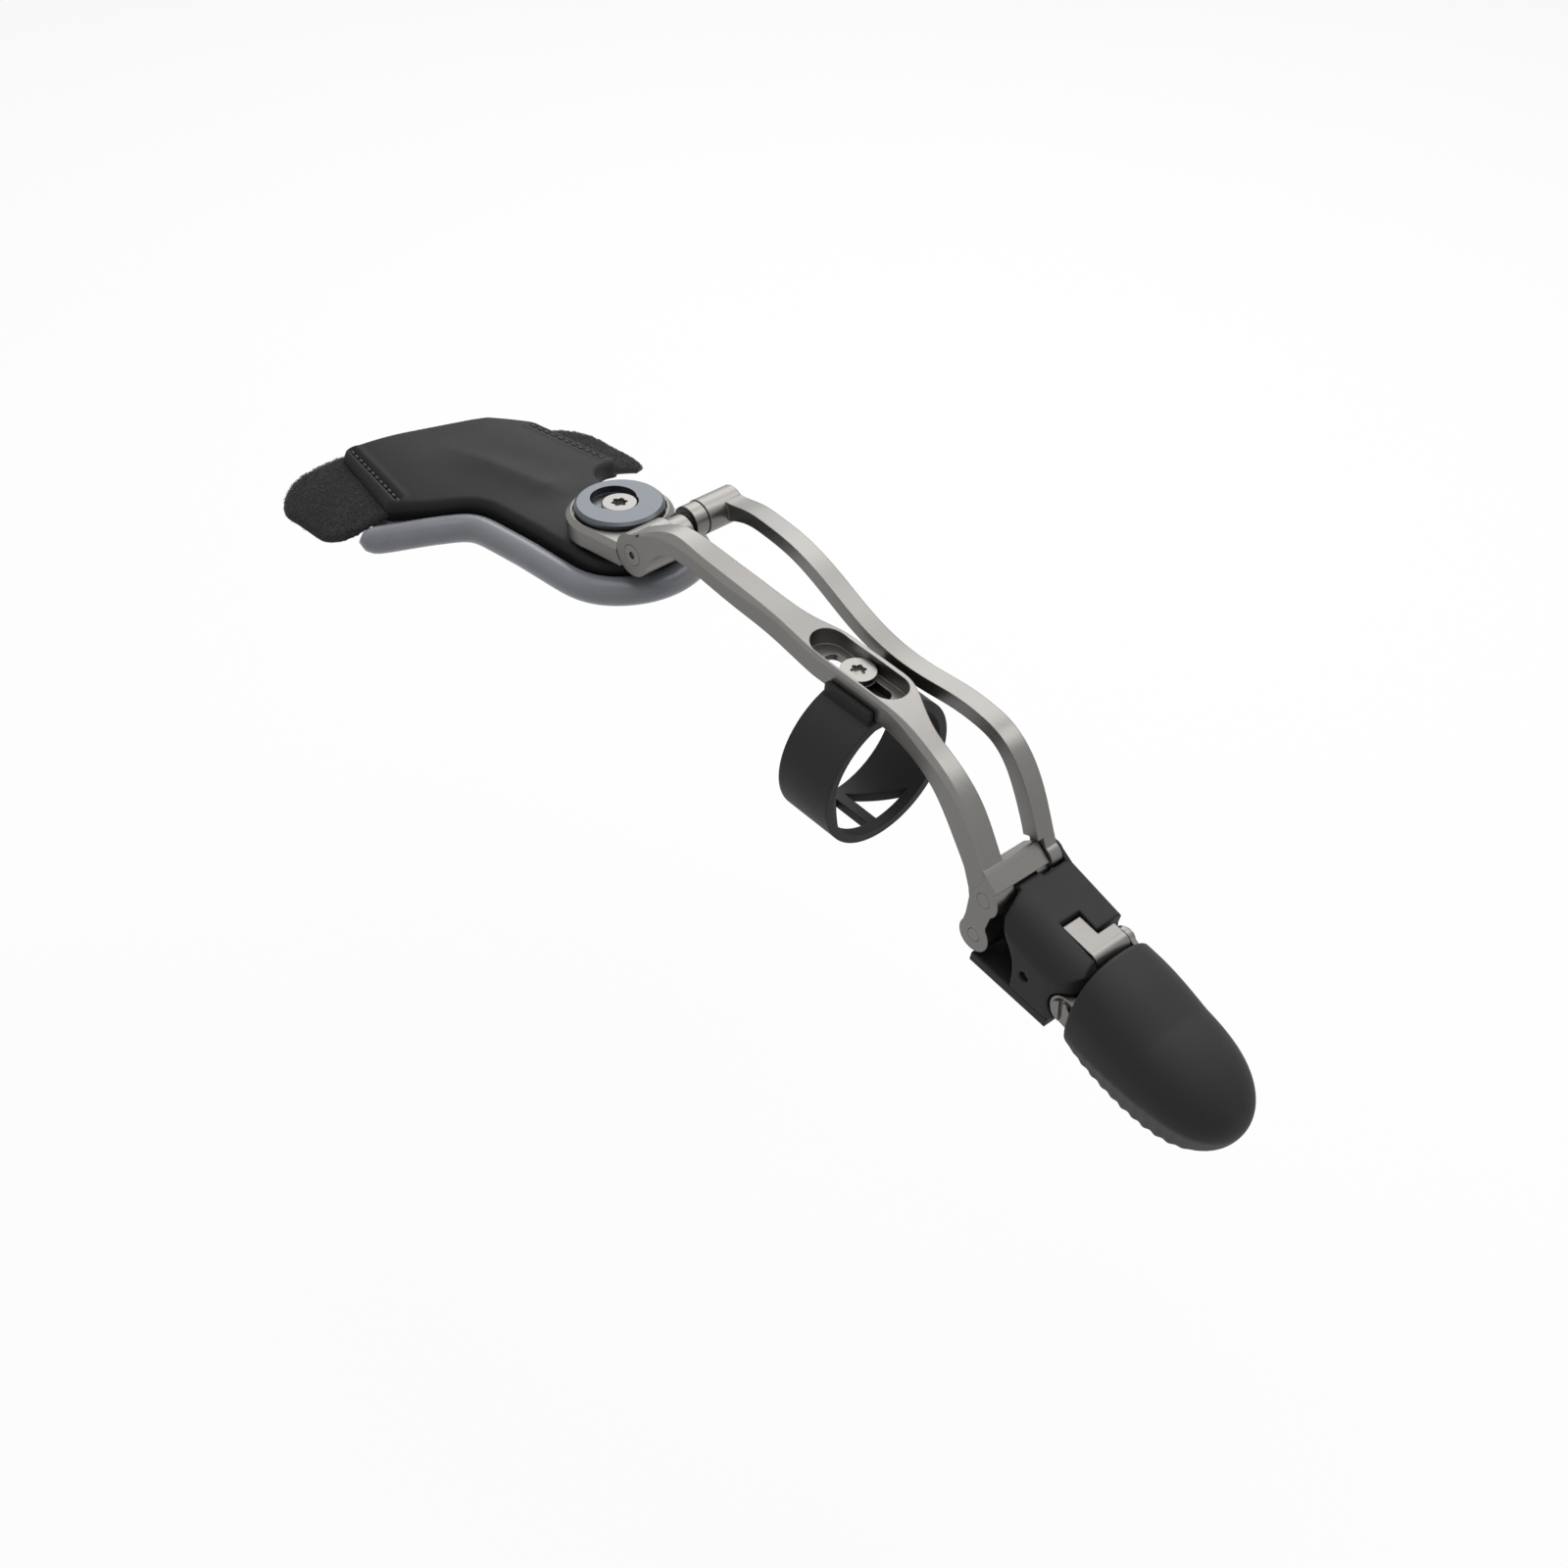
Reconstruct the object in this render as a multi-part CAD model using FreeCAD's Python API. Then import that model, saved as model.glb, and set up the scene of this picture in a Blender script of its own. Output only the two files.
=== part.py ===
import FreeCAD, Part
import math
import os

from FreeCAD import Vector

# Body-driven finger prosthesis: a hand plate, a swivelling yoke and a crossed
# double linkage that carries a middle phalanx and a fingertip.
# Millimetres. Origin on the swivel axis at the underside of the knuckle pad,
# X toward the fingertip, Z away from the back of the hand, Y to the far side.

os.makedirs("parts", exist_ok=True)

# Clearances
FIT = 0.05            # radial, a pin turning or seated in its bore
SIDE_GAP = 0.12       # between plates that turn past each other
SKIN_GAP = 0.15       # between stacked layers of the hand plate
SOFT_GAP = 0.30       # soft parts to whatever lies beside them
EYE_PLAY = 0.25       # loose eye of the far arm on its stub
LINK_PLAY = 0.40      # loose barrel of the tip link on its pin

# Pivots in the side view, X and Z
MCP = (9.2, 7.9)
FAR_HINGE = (7.52, 7.55)
PIP = (65.6, -10.6)
FAR_EYE = (65.97, -9.04)
LINK_FOOT = (64.5, -16.0)
DIP = (77.51, -18.66)
TIP_PIN = (77.2, -14.45)

# Hand plate
HAND_R = 36.0         # radius of the back of the hand, across
HAND_FLAT = 3.5       # half width of the flat crown
PAD_T = 2.0
ROLL_R = 1.75         # rolled rim of the pad
ROLL_Z = 1.95
PLATE_Z = PAD_T + SKIN_GAP
PLATE_T = 1.4
COVER_T = 0.8
COVER_Z = PLATE_Z + PLATE_T + SKIN_GAP
COVER_TOP = COVER_Z + COVER_T
COVER_LOW = PAD_T + SOFT_GAP
STRAP_T = 1.2

# Swivel
POST_R = 3.0
POST_FLANGE_R = 5.2
POST_FLANGE_T = 0.9
POST_TOP = 7.6
SPIGOT_R = 1.95
RIVET_R = 0.6
RIVET_CIRCLE = 4.1
BUSH_WALL = 0.5
DISC_R = 5.5
DISC_T = 1.4
DISC_BEVEL = 0.35
SCREW_HEAD_R = 2.2
SCREW_R = 1.2
SCREW_SEAT_Z = 8.05
SCREW_TOP = 8.85

# Yoke
YOKE_LOW = 4.8        # underside of the hub and the lugs
COLLAR_LOW = 5.5      # underside of the collar round the disc
YOKE_TOP = 8.1
YOKE_R = 6.5
YOKE_BEVEL = 0.6
HUB_R = 4.8
DISC_GAP = 0.2        # radial, between the disc and the collar
CHEEK_END = 7.0       # the collar's near side runs straight on to here
CHEEK_IN = 0.08       # and draws in by this share of its length
LUG_R = 2.1
NEAR_LUG = (-0.3, 2.2)
FAR_LUG = (4.0, 5.9)
MCP_PIN_R = 1.3
DRIVE_PIN_R = 1.2

# Near arm
KNUCKLE_R = 2.7
KNUCKLE_Y = (-5.9, -0.5)
SLOT_NEAR = -3.2      # edges of the widened slotted part
SLOT_FAR = 2.5
SLOT_Y = (SLOT_NEAR + SLOT_FAR) / 2
BONE_Y = (-5.1, -2.1)
BONE_R = 2.1
BRIDGE_Y = 3.3        # far end of the bridge over the middle knuckle
EAR_Y = 1.7
EAR_R = 1.95
BRIDGE_IN = 1.8       # radius about the PIP axis left free for the knuckle
PIP_PIN_R = 0.9
LINK_PIN_R = 0.8

# Slotted rail for the ring, seen along the tilted rail
RAIL_X = 41.0
RAIL_Z = 3.1          # underside of the rail at RAIL_X
RAIL_TILT = 7.0
RAIL_FLOOR = 0.9
BORE_L = 14.0         # length of the sunk pocket
BORE_W = 4.6
SLOT_L = 9.8
SLOT_W = 2.4
RING_AT = 0.0         # ring screw along the rail
RING_SHIFT = 2.1      # the band reaches forward of its screw

# Far arm
FAR_W = 2.5
FAR_BARREL_R = 2.2
FAR_BARREL_Y = 11.4
FAR_EYE_Y = (3.45, 5.1)
FAR_EYE_R = 1.75

# Finger ring
RING_R = 8.3
RING_WALL = 1.13
RING_W = 7.8
SADDLE_L = 7.0
LIP = 0.7
RING_SCREW_R = 1.0
RING_HEAD_R = 2.1
RING_WASHER_R = 2.15

# Middle phalanx
MID_NEAR = -5.1
MID_FAR = 6.2
MID_START = (67.5, -8.95)   # where the back of the shell begins, under the bridge
MID_SLOPE = 22.5            # fall of the back toward the fingertip, degrees
CROWN_NEAR = 3.8            # rounding between the back and the near side
CROWN_FAR = 0.9
STUB_LUG_R = 1.35
STUB_LUG_Y = (5.25, 5.8)
STUB_R = 0.95
KNUCKLE_MID_R = 1.6
KNUCKLE_MID_Y = (-1.9, 1.5)
LINK_GAP = 0.25             # beside the tip link in its slot
SOLE_T = 1.2
DIP_EAR_Y = 2.85
DIP_EAR_R = 1.7
DIP_PIN_R = 0.8

# Tip link
LINK_Y = (-1.0, 1.7)
LINK_FOOT_R = 1.6
BARREL_R = 1.5
BARREL_Y = 4.35
BARREL_PIN_R = 0.6
LINK_BACK = (73.5, -11.81)  # upper end of the link where it lies flush in the shell

# Fingertip
TIP_START = (75.9, -16.65)
TIP_PITCH = 21.6
CORE_HALF = 4.9
LUG_TIP_R = 1.8


def cyl_y(at, r, y0, y1):
    """A round bar across the finger about the point at (X, Z)."""
    return Part.makeCylinder(r, y1 - y0, Vector(at[0], y0, at[1]), Vector(0, 1, 0))


def cyl_z(x, y, r, z0, z1):
    return Part.makeCylinder(r, z1 - z0, Vector(x, y, z0), Vector(0, 0, 1))


def box(x0, y0, z0, x1, y1, z1):
    return Part.makeBox(x1 - x0, y1 - y0, z1 - z0, Vector(x0, y0, z0))


def face_of(points):
    vectors = [Vector(*p) for p in points]
    return Part.Face(Part.makePolygon(vectors + [vectors[0]]))


def side_prism(points, y0, y1):
    """Polygon in the side view (X, Z), solid from y0 to y1."""
    face = face_of([(x, y0, z) for x, z in points])
    return face.extrude(Vector(0, y1 - y0, 0))


def plan_prism(points, z0, z1):
    """Polygon seen from above (X, Y), solid from z0 to z1."""
    face = face_of([(x, y, z0) for x, y in points])
    return face.extrude(Vector(0, 0, z1 - z0))


def curve(points, start=None, end=None):
    """A smooth edge through the points, if wanted with set directions at its ends."""
    places = [Vector(*p) for p in points]
    spline = Part.BSplineCurve()
    if start or end:
        first = Vector(*start) if start else places[1] - places[0]
        last = Vector(*end) if end else places[-1] - places[-2]
        spline.interpolate(Points=places, InitialTangent=first, FinalTangent=last)
    else:
        spline.interpolate(places)
    return spline.toShape()


def band_face(upper, lower, place):
    """A face between two smooth edges. place turns a 2-D point into 3-D."""
    up = [place(p) for p in upper]
    low = [place(p) for p in reversed(lower)]
    edges = [curve(up), Part.makeLine(Vector(*up[-1]), Vector(*low[0]))]
    edges += [curve(low), Part.makeLine(Vector(*low[-1]), Vector(*up[0]))]
    return Part.Face(Part.Wire(edges))


def side_band(upper, lower, y0, y1):
    face = band_face(upper, lower, lambda p: (p[0], y0, p[1]))
    return face.extrude(Vector(0, y1 - y0, 0))


def plan_band(far, near, z0, z1):
    face = band_face(far, near, lambda p: (p[0], p[1], z0))
    return face.extrude(Vector(0, 0, z1 - z0))


def rounded_wire(corners, z):
    """Closed plan outline from corners (x, y, radius)."""
    edges = []
    count = len(corners)
    ends = []
    for i, (x, y, r) in enumerate(corners):
        here = Vector(x, y, z)
        before = Vector(corners[i - 1][0], corners[i - 1][1], z) - here
        after = Vector(*corners[(i + 1) % count][:2], z) - here
        before.normalize()
        after.normalize()
        half = before.getAngle(after) / 2
        reach = r / math.tan(half)
        middle = before + after
        middle.normalize()
        hub = here + middle * (r / math.sin(half))
        ends.append((here + before * reach, hub - middle * r, here + after * reach))
    for i, (start, top, end) in enumerate(ends):
        edges.append(Part.Arc(start, top, end).toShape())
        edges.append(Part.makeLine(end, ends[(i + 1) % count][0]))
    return Part.Wire(edges)


def rounded_prism(corners, z0, z1, inset=0.0):
    wire = rounded_wire(corners, z0)
    if inset:
        wire = wire.makeOffset2D(-inset)
    return Part.Face(wire).extrude(Vector(0, 0, z1 - z0))


def hand_height(y):
    """Height of the back of the hand beside the crown."""
    out = max(abs(y) - HAND_FLAT, 0.0)
    return math.sqrt(HAND_R ** 2 - out ** 2) - HAND_R


def hand_layer(z0, z1, x0=-60.0, x1=30.0):
    """A layer between two heights over the curved back of the hand."""
    reach = math.radians(38)

    def arc(side, r, backward):
        hub = Vector(x0, side * HAND_FLAT, -HAND_R)
        pts = []
        for part in (0.0, 0.5, 1.0):
            a = reach * part
            pts.append(hub + Vector(0, side * r * math.sin(a), r * math.cos(a)))
        if backward:
            pts.reverse()
        return Part.Arc(*pts).toShape(), pts

    top_r = HAND_R + z1
    low_r = HAND_R + z0
    near_top, a = arc(-1, top_r, True)
    far_top, b = arc(1, top_r, False)
    far_low, c = arc(1, low_r, True)
    near_low, d = arc(-1, low_r, False)
    edges = [near_top, Part.makeLine(a[2], b[0]), far_top, Part.makeLine(b[2], c[0])]
    edges += [far_low, Part.makeLine(c[2], d[0]), near_low, Part.makeLine(d[2], a[0])]
    return Part.Face(Part.Wire(edges)).extrude(Vector(x1 - x0, 0, 0))


def joined(*shapes):
    solid = shapes[0]
    for shape in shapes[1:]:
        solid = solid.fuse(shape)
    return solid.removeSplitter()


def lobed_socket(x, y, r, z0, z1):
    """Six-lobed driver socket."""
    tool = cyl_z(x, y, r * 0.78, z0, z1)
    for i in range(6):
        a = math.radians(60 * i)
        tool = tool.fuse(cyl_z(x + 0.72 * r * math.cos(a), y + 0.72 * r * math.sin(a), r * 0.28, z0, z1))
    return tool


# Hand plate pieces

COVER = [(-42, -12, 1.5), (-27.5, -15.0, 1.5), (-22.6, -11.6, 4), (-18.6, -7.0, 5), (-8, -6.5, 6),
         (7.3, -6.5, 6.3), (7.3, 7.1, 6.3), (-8, 6.8, 6), (-15.3, 6.6, 4.2), (-14.3, 13.3, 1.5),
         (-31, 11.0, 1.5), (-36.9, 5.0, 4)]
NEAR_STRAP = [(-44.0, -11.0, 0.4), (-44.4, -21.6, 4.5), (-28.3, -22.4, 4.5), (-28.9, -10.6, 0.4)]
FAR_STRAP = [(-29.5, 8.0, 0.4), (-15.9, 9.6, 0.4), (-15.6, 18.2, 4.5), (-30.2, 18.0, 4.5)]
PAD_OUT = 3.75        # the pad's rim reaches this far past the cover
PAD_KEEP = [(-36.0, 4.0), (-41.0, -11.2), (-28.2, -14.6), (-27.6, -20.5), (30, -20.5), (30, 17.0),
            (-2.5, 17.0), (-5.5, 6.7), (-15.2, 6.5), (-15.2, 12.0), (-30.6, 9.8)]


def cover_outline(z0, z1, inset=0.0):
    return rounded_prism(COVER, z0, z1, inset)


def knuckle_pad():
    outer = cover_outline(-20, 20, -PAD_OUT)
    inner = cover_outline(-20, 20, -PAD_OUT + 2 * ROLL_R)
    body = outer.common(hand_layer(0, PAD_T))
    rim = outer.cut(inner).common(hand_layer(ROLL_Z - ROLL_R, ROLL_Z + ROLL_R))
    return joined(body, rim).common(plan_prism(PAD_KEEP, -20, 20))


def base_plate():
    plate = cover_outline(-20, 20, COVER_T + SOFT_GAP).common(hand_layer(PLATE_Z, PLATE_Z + PLATE_T))
    for outline in (NEAR_STRAP, FAR_STRAP):
        plate = plate.cut(rounded_prism(outline, -20, 20).makeOffsetShape(SOFT_GAP, 0.01))
    plate = plate.cut(cyl_z(0, 0, SPIGOT_R + FIT, 0, 10))
    for x, y in rivet_places():
        plate = plate.cut(cyl_z(x, y, RIVET_R + FIT, 0, 10))
    return plate


def back_cover():
    shell = cover_outline(-20, 20).common(hand_layer(COVER_LOW, COVER_TOP))
    hollow = cover_outline(-20, 20, COVER_T).common(hand_layer(-1, COVER_Z))
    shell = shell.cut(hollow)
    shell = shell.cut(cyl_z(0, 0, POST_FLANGE_R + SOFT_GAP, 0, 10))
    for outline in (NEAR_STRAP, FAR_STRAP):
        way = rounded_prism(outline, -20, 20).makeOffsetShape(SOFT_GAP, 0.01)
        shell = shell.cut(way.common(hand_layer(0, COVER_Z)))
    return shell


def strap(outline):
    low = PAD_T + SOFT_GAP - 0.1
    return rounded_prism(outline, -20, 20).common(hand_layer(low, low + STRAP_T))


def rivet_places():
    places = []
    for degrees in (90, 210, 330):
        a = math.radians(degrees)
        places.append((RIVET_CIRCLE * math.cos(a), RIVET_CIRCLE * math.sin(a)))
    return places


def pivot_post():
    foot = PLATE_Z + PLATE_T
    post = cyl_z(0, 0, POST_FLANGE_R, foot, foot + POST_FLANGE_T)
    post = joined(post, cyl_z(0, 0, POST_R, foot, POST_TOP), cyl_z(0, 0, SPIGOT_R, PLATE_Z, foot + 0.5))
    post = post.cut(cyl_z(0, 0, SCREW_R + FIT, foot, POST_TOP + 1))
    for x, y in rivet_places():
        post = post.cut(cyl_z(x, y, RIVET_R + FIT, 0, 10))
    return post


def post_rivets():
    top = PLATE_Z + PLATE_T + POST_FLANGE_T
    return Part.makeCompound([cyl_z(x, y, RIVET_R, PLATE_Z, top) for x, y in rivet_places()])


def bevelled_disc(r, z0, z1, bevel):
    body = cyl_z(0, 0, r, z0, z1 - bevel)
    return body.fuse(Part.makeCone(r, r - bevel, bevel, Vector(0, 0, z1 - bevel))).removeSplitter()


def pivot_disc():
    disc = bevelled_disc(DISC_R, POST_TOP + 0.01, POST_TOP + DISC_T, DISC_BEVEL)
    disc = disc.cut(cyl_z(-1.15, 0, 2.8, SCREW_SEAT_Z, 12))
    disc = disc.cut(cyl_z(0, 0, SCREW_HEAD_R + 0.12, SCREW_SEAT_Z, 12))
    return disc.cut(cyl_z(0, 0, SCREW_R + FIT, 0, 12))


def pivot_screw():
    low = PLATE_Z + PLATE_T + 0.6
    head = bevelled_disc(SCREW_HEAD_R, SCREW_SEAT_Z + 0.01, SCREW_TOP, 0.15)
    screw = joined(head, cyl_z(0, 0, SCREW_R, low, SCREW_SEAT_Z + 0.3))
    return screw.cut(lobed_socket(0, 0, 1.0, SCREW_TOP - 0.55, 12))


# Yoke pieces

def yoke():
    body = bevelled_disc(YOKE_R, COLLAR_LOW, YOKE_TOP, YOKE_BEVEL)
    body = body.fuse(cyl_z(0, 0, HUB_R, YOKE_LOW, COLLAR_LOW + 0.1))
    # the near side leaves the round with the same bevel and runs on beside the knuckle
    cheek = face_of([(0, -YOKE_R, COLLAR_LOW), (0, -YOKE_R, YOKE_TOP - YOKE_BEVEL),
                     (0, YOKE_BEVEL - YOKE_R, YOKE_TOP), (0, 0, YOKE_TOP), (0, 0, COLLAR_LOW)])
    body = body.fuse(cheek.extrude(Vector(CHEEK_END, CHEEK_END * CHEEK_IN, 0)))
    body = body.cut(cyl_y(MCP, KNUCKLE_R + SIDE_GAP, -20, KNUCKLE_Y[1] + SIDE_GAP))
    near = side_prism([(3, YOKE_LOW), (3, 7.0), (5.8, 7.0), (5.8, YOKE_TOP), (MCP[0] - 1.0, MCP[1] + LUG_R - 0.3),
                       MCP, (MCP[0] + 1.0, MCP[1] - LUG_R + 0.3), (7.8, YOKE_LOW)], *NEAR_LUG)
    far = side_prism([(1.5, YOKE_LOW), (1.5, 7.0), (4.2, 7.0), (FAR_HINGE[0] - 0.7, FAR_HINGE[1] + LUG_R - 0.4),
                      FAR_HINGE, (FAR_HINGE[0] + 1.0, FAR_HINGE[1] - LUG_R + 0.3), (6.4, YOKE_LOW)], *FAR_LUG)
    lug_near = cyl_y(MCP, LUG_R, *NEAR_LUG)
    lug_far = cyl_y(FAR_HINGE, LUG_R, *FAR_LUG)
    body = joined(body, near, far, lug_near, lug_far)
    body = body.cut(cyl_z(0, 0, DISC_R + DISC_GAP, POST_TOP - 0.1, 20))
    body = body.cut(cyl_z(0, 0, POST_R + BUSH_WALL + 2 * FIT, 0, 20))
    body = body.cut(cyl_y(MCP, MCP_PIN_R + FIT, -20, 20).common(box(0, -20, 0, 20, 3.0, 20)))
    return body.cut(cyl_y(FAR_HINGE, DRIVE_PIN_R + FIT, 3.0, 20))


def yoke_bush():
    tube = cyl_z(0, 0, POST_R + FIT + BUSH_WALL, YOKE_LOW + 0.05, POST_TOP - 0.15)
    return tube.cut(cyl_z(0, 0, POST_R + FIT, 0, 20))


def mcp_pin():
    pin = cyl_y(MCP, MCP_PIN_R, KNUCKLE_Y[0], NEAR_LUG[1])
    return pin.cut(cyl_y(MCP, 0.45, KNUCKLE_Y[0] - 1, KNUCKLE_Y[0] + 0.4))


def drive_pin():
    pin = cyl_y(FAR_HINGE, DRIVE_PIN_R, FAR_LUG[0], FAR_BARREL_Y - 0.15)
    return pin.cut(cyl_y(FAR_HINGE, 0.45, FAR_BARREL_Y - 1, FAR_BARREL_Y + 1))


# Near arm pieces

NEAR_TOP = [(8.2, 10.3), (10.5, 11.3), (13.2, 12.6), (15.9, 13.15), (18.7, 12.6), (22.9, 10.97),
            (27.2, 9.5), (31.6, 8.1), (36.1, 6.65), (41, 5.97), (46, 5.35), (50, 4.75), (54, 3.9),
            (57.5, 2.75), (60, 1.2), (62, -0.8), (63.8, -3.7), (65.8, -7.6)]
NEAR_LOW_A = [(9.4, 5.3), (10.8, 6.6), (12.9, 9.0), (15.1, 10.4), (17.6, 10.45), (20.8, 9.4), (25.0, 7.6),
              (29.4, 6.0), (33.8, 4.45), (37.0, 3.59)]
NEAR_LOW_B = [(49.0, 2.12), (53.0, 1.3), (56.7, -0.1), (58.8, -2.0), (61.2, -5.3), (63.0, -8.4), (63.6, -10.6)]
NEAR_EDGE_BACK = [(5.0, -5.9), (12.0, -5.9), (19.0, -5.4), (26.0, -4.1), (35.0, SLOT_NEAR)]
NEAR_EDGE_FRONT = [(47.0, SLOT_NEAR), (51.5, -3.6), (56.0, -4.5), (60.5, -5.05), (70.0, -5.1)]
FAR_EDGE_BACK = [(5.0, -2.9), (13.0, -2.85), (19.0, -2.15), (25.0, -0.8), (29.5, -0.1), (32.0, 0.5),
                 (34.5, 1.6), (38.0, SLOT_FAR)]
FAR_EDGE_FRONT = [(45.5, SLOT_FAR), (49.0, 1.4), (52.0, -0.3), (56.0, -1.7), (61.0, -2.1), (70.0, -2.1)]
NEAR_BEVEL = [(10.0, -5.95, 10.5), (13.2, -5.9, 12.0), (15.9, -5.6, 12.45), (18.7, -5.42, 11.93),
              (22.9, -4.67, 10.3), (27.2, -3.98, 8.83), (31.6, -3.5, 7.5), (36.1, -3.2, 6.2), (41, -3.2, 5.62),
              (46, -3.2, 5.0), (50, -3.42, 4.25), (54, -4.05, 3.3), (57.5, -4.75, 2.1), (60, -5.0, 0.55),
              (62, -5.1, -1.35), (63.8, -5.1, -4.1), (66.5, -5.1, -9.0)]


def rail_placed(shape):
    """Move a shape made about the rail's own origin onto the tilted rail."""
    shape.rotate(Vector(0, 0, 0), Vector(0, 1, 0), RAIL_TILT)
    shape.translate(Vector(RAIL_X, 0, RAIL_Z))
    return shape


def stadium(length, width, z0, z1):
    """Round-ended slot along the rail, on the middle of the slotted part."""
    half = length / 2 - width / 2
    tool = box(-half, SLOT_Y - width / 2, z0, half, SLOT_Y + width / 2, z1)
    tool = tool.fuse(cyl_z(-half, SLOT_Y, width / 2, z0, z1))
    return tool.fuse(cyl_z(half, SLOT_Y, width / 2, z0, z1))


def near_side_profile():
    """Side view of the near arm: spline back, spline belly, straight rail."""
    y = -8.0
    top = curve([(x, y, z) for x, z in NEAR_TOP])
    belly_a = curve([(x, y, z) for x, z in NEAR_LOW_A])
    belly_b = curve([(x, y, z) for x, z in NEAR_LOW_B])

    def at(p):
        return Vector(p[0], y, p[1])

    edges = [top, Part.makeLine(at(NEAR_TOP[-1]), at(NEAR_LOW_B[-1])), belly_b,
             Part.makeLine(at(NEAR_LOW_B[0]), at(NEAR_LOW_A[-1])), belly_a,
             Part.makeLine(at(NEAR_LOW_A[0]), at(NEAR_TOP[0]))]
    face = Part.Face(Part.Wire(Part.__sortEdges__(edges)))
    return face.extrude(Vector(0, 16, 0))


def bone_plate():
    """Near plate that carries both lower pivots of the arm."""
    lobes = cyl_y(PIP, BONE_R, *BONE_Y).fuse(cyl_y(LINK_FOOT, BONE_R, *BONE_Y))
    waist = side_prism([(63.6, -11.0), (67.0, -11.6), (66.1, -14.2), (66.2, -15.2),
                        (62.7, -15.2), (63.2, -13.6)], *BONE_Y)
    neck = side_prism([(62.6, -7.6), (65.7, -7.3), (67.1, -9.1), (67.2, -11.2), (63.6, -11.4),
                       (63.4, -10.0)], *BONE_Y)
    return joined(lobes, waist, neck)


def bridge():
    """Bar over the middle knuckle that ties the plate to the far ear."""
    bar = side_prism([(63.6, -8.0), (65.4, -6.8), (65.85, -7.2), (67.45, -8.75), (66.6, -9.4),
                      (64.2, -9.2)], BONE_Y[0], BRIDGE_Y)
    ear = cyl_y(PIP, EAR_R, EAR_Y, BRIDGE_Y)
    ear = ear.fuse(side_prism([(64.0, -8.2), (66.6, -8.6), (67.2, -10.0), (64.2, -11.2)], EAR_Y, BRIDGE_Y))
    bar = bar.cut(cyl_y(PIP, BRIDGE_IN, BONE_Y[1], EAR_Y))
    return joined(bar, ear)


def near_plan():
    """Plan of the near arm: both edges run straight beside the slot."""
    z = -30

    def edge(back, front):
        places = [(x, y, z) for x, y in back]
        onward = [(x, y, z) for x, y in front]
        middle = Part.makeLine(Vector(*places[-1]), Vector(*onward[0]))
        return [curve(places, end=(1, 0, 0)), middle, curve(onward, start=(1, 0, 0))]

    ends = []
    for i in (0, -1):
        far = (FAR_EDGE_BACK, FAR_EDGE_FRONT)[i][i]
        near = (NEAR_EDGE_BACK, NEAR_EDGE_FRONT)[i][i]
        ends.append(Part.makeLine(Vector(*far, z), Vector(*near, z)))
    edges = edge(FAR_EDGE_BACK, FAR_EDGE_FRONT) + edge(NEAR_EDGE_BACK, NEAR_EDGE_FRONT) + ends
    face = Part.Face(Part.Wire(Part.__sortEdges__(edges)))
    return face.extrude(Vector(0, 0, 60))


def near_bevel():
    """All that lies outside the bevel along the near upper edge."""
    edge = curve(NEAR_BEVEL)
    edge.translate(Vector(0, -5, -5))
    return edge.extrude(Vector(0, 12, 12)).extrude(Vector(0, -9, 9))


def near_arm():
    arm = near_side_profile().common(near_plan()).cut(near_bevel())
    arm = arm.cut(box(0, -9, -30, 90, KNUCKLE_Y[0], 30))
    knuckle = cyl_y(MCP, KNUCKLE_R, *KNUCKLE_Y)
    arm = joined(arm, knuckle, bone_plate(), bridge())
    arm = arm.cut(rail_placed(stadium(BORE_L, BORE_W, RAIL_FLOOR, 12)))
    arm = arm.cut(rail_placed(stadium(SLOT_L, SLOT_W, -3, 12)))
    arm = arm.cut(cyl_y(MCP, MCP_PIN_R + FIT, -20, 20))
    arm = arm.cut(cyl_y(PIP, PIP_PIN_R + FIT, -20, 20))
    return arm.cut(cyl_y(LINK_FOOT, LINK_PIN_R + FIT, -20, 20))


def pip_pin():
    return cyl_y(PIP, PIP_PIN_R, BONE_Y[0], BRIDGE_Y)


def link_pin():
    return cyl_y(LINK_FOOT, LINK_PIN_R, BONE_Y[0], LINK_Y[1] + 0.1)


# Far arm

FAR_TOP = [(7.2, 9.3), (9.5, 9.2), (13.0, 9.9), (17.9, 10.6), (22.0, 11.0), (25.9, 10.9), (30.6, 9.7),
           (35.6, 7.4), (41.3, 5.3), (47.0, 4.5), (51.4, 4.7), (56.0, 4.9), (59.6, 4.3), (62.0, 2.6),
           (63.6, 0.4), (65.2, -3.2), (66.6, -7.2), (67.4, -9.0)]
FAR_LOW = [(7.4, 5.7), (9.2, 6.6), (13.2, 8.1), (17.6, 8.8), (21.8, 9.2), (25.2, 9.1), (29.8, 7.9),
           (35.0, 5.6), (40.8, 3.6), (46.6, 2.7), (51.2, 2.9), (55.4, 3.1), (58.6, 2.6), (60.4, 1.3),
           (61.8, -0.8), (63.3, -4.2), (64.3, -7.4), (64.6, -9.4)]
FAR_EDGE = [(4.0, 11.4), (9.0, 11.4), (14.0, 10.7), (20.0, 9.2), (27.0, 7.6), (34.0, 6.9), (42.0, 6.9),
            (50.0, 6.9), (56.0, 5.9), (61.0, 5.2), (64.0, 5.1), (72.0, 5.1)]


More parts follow.
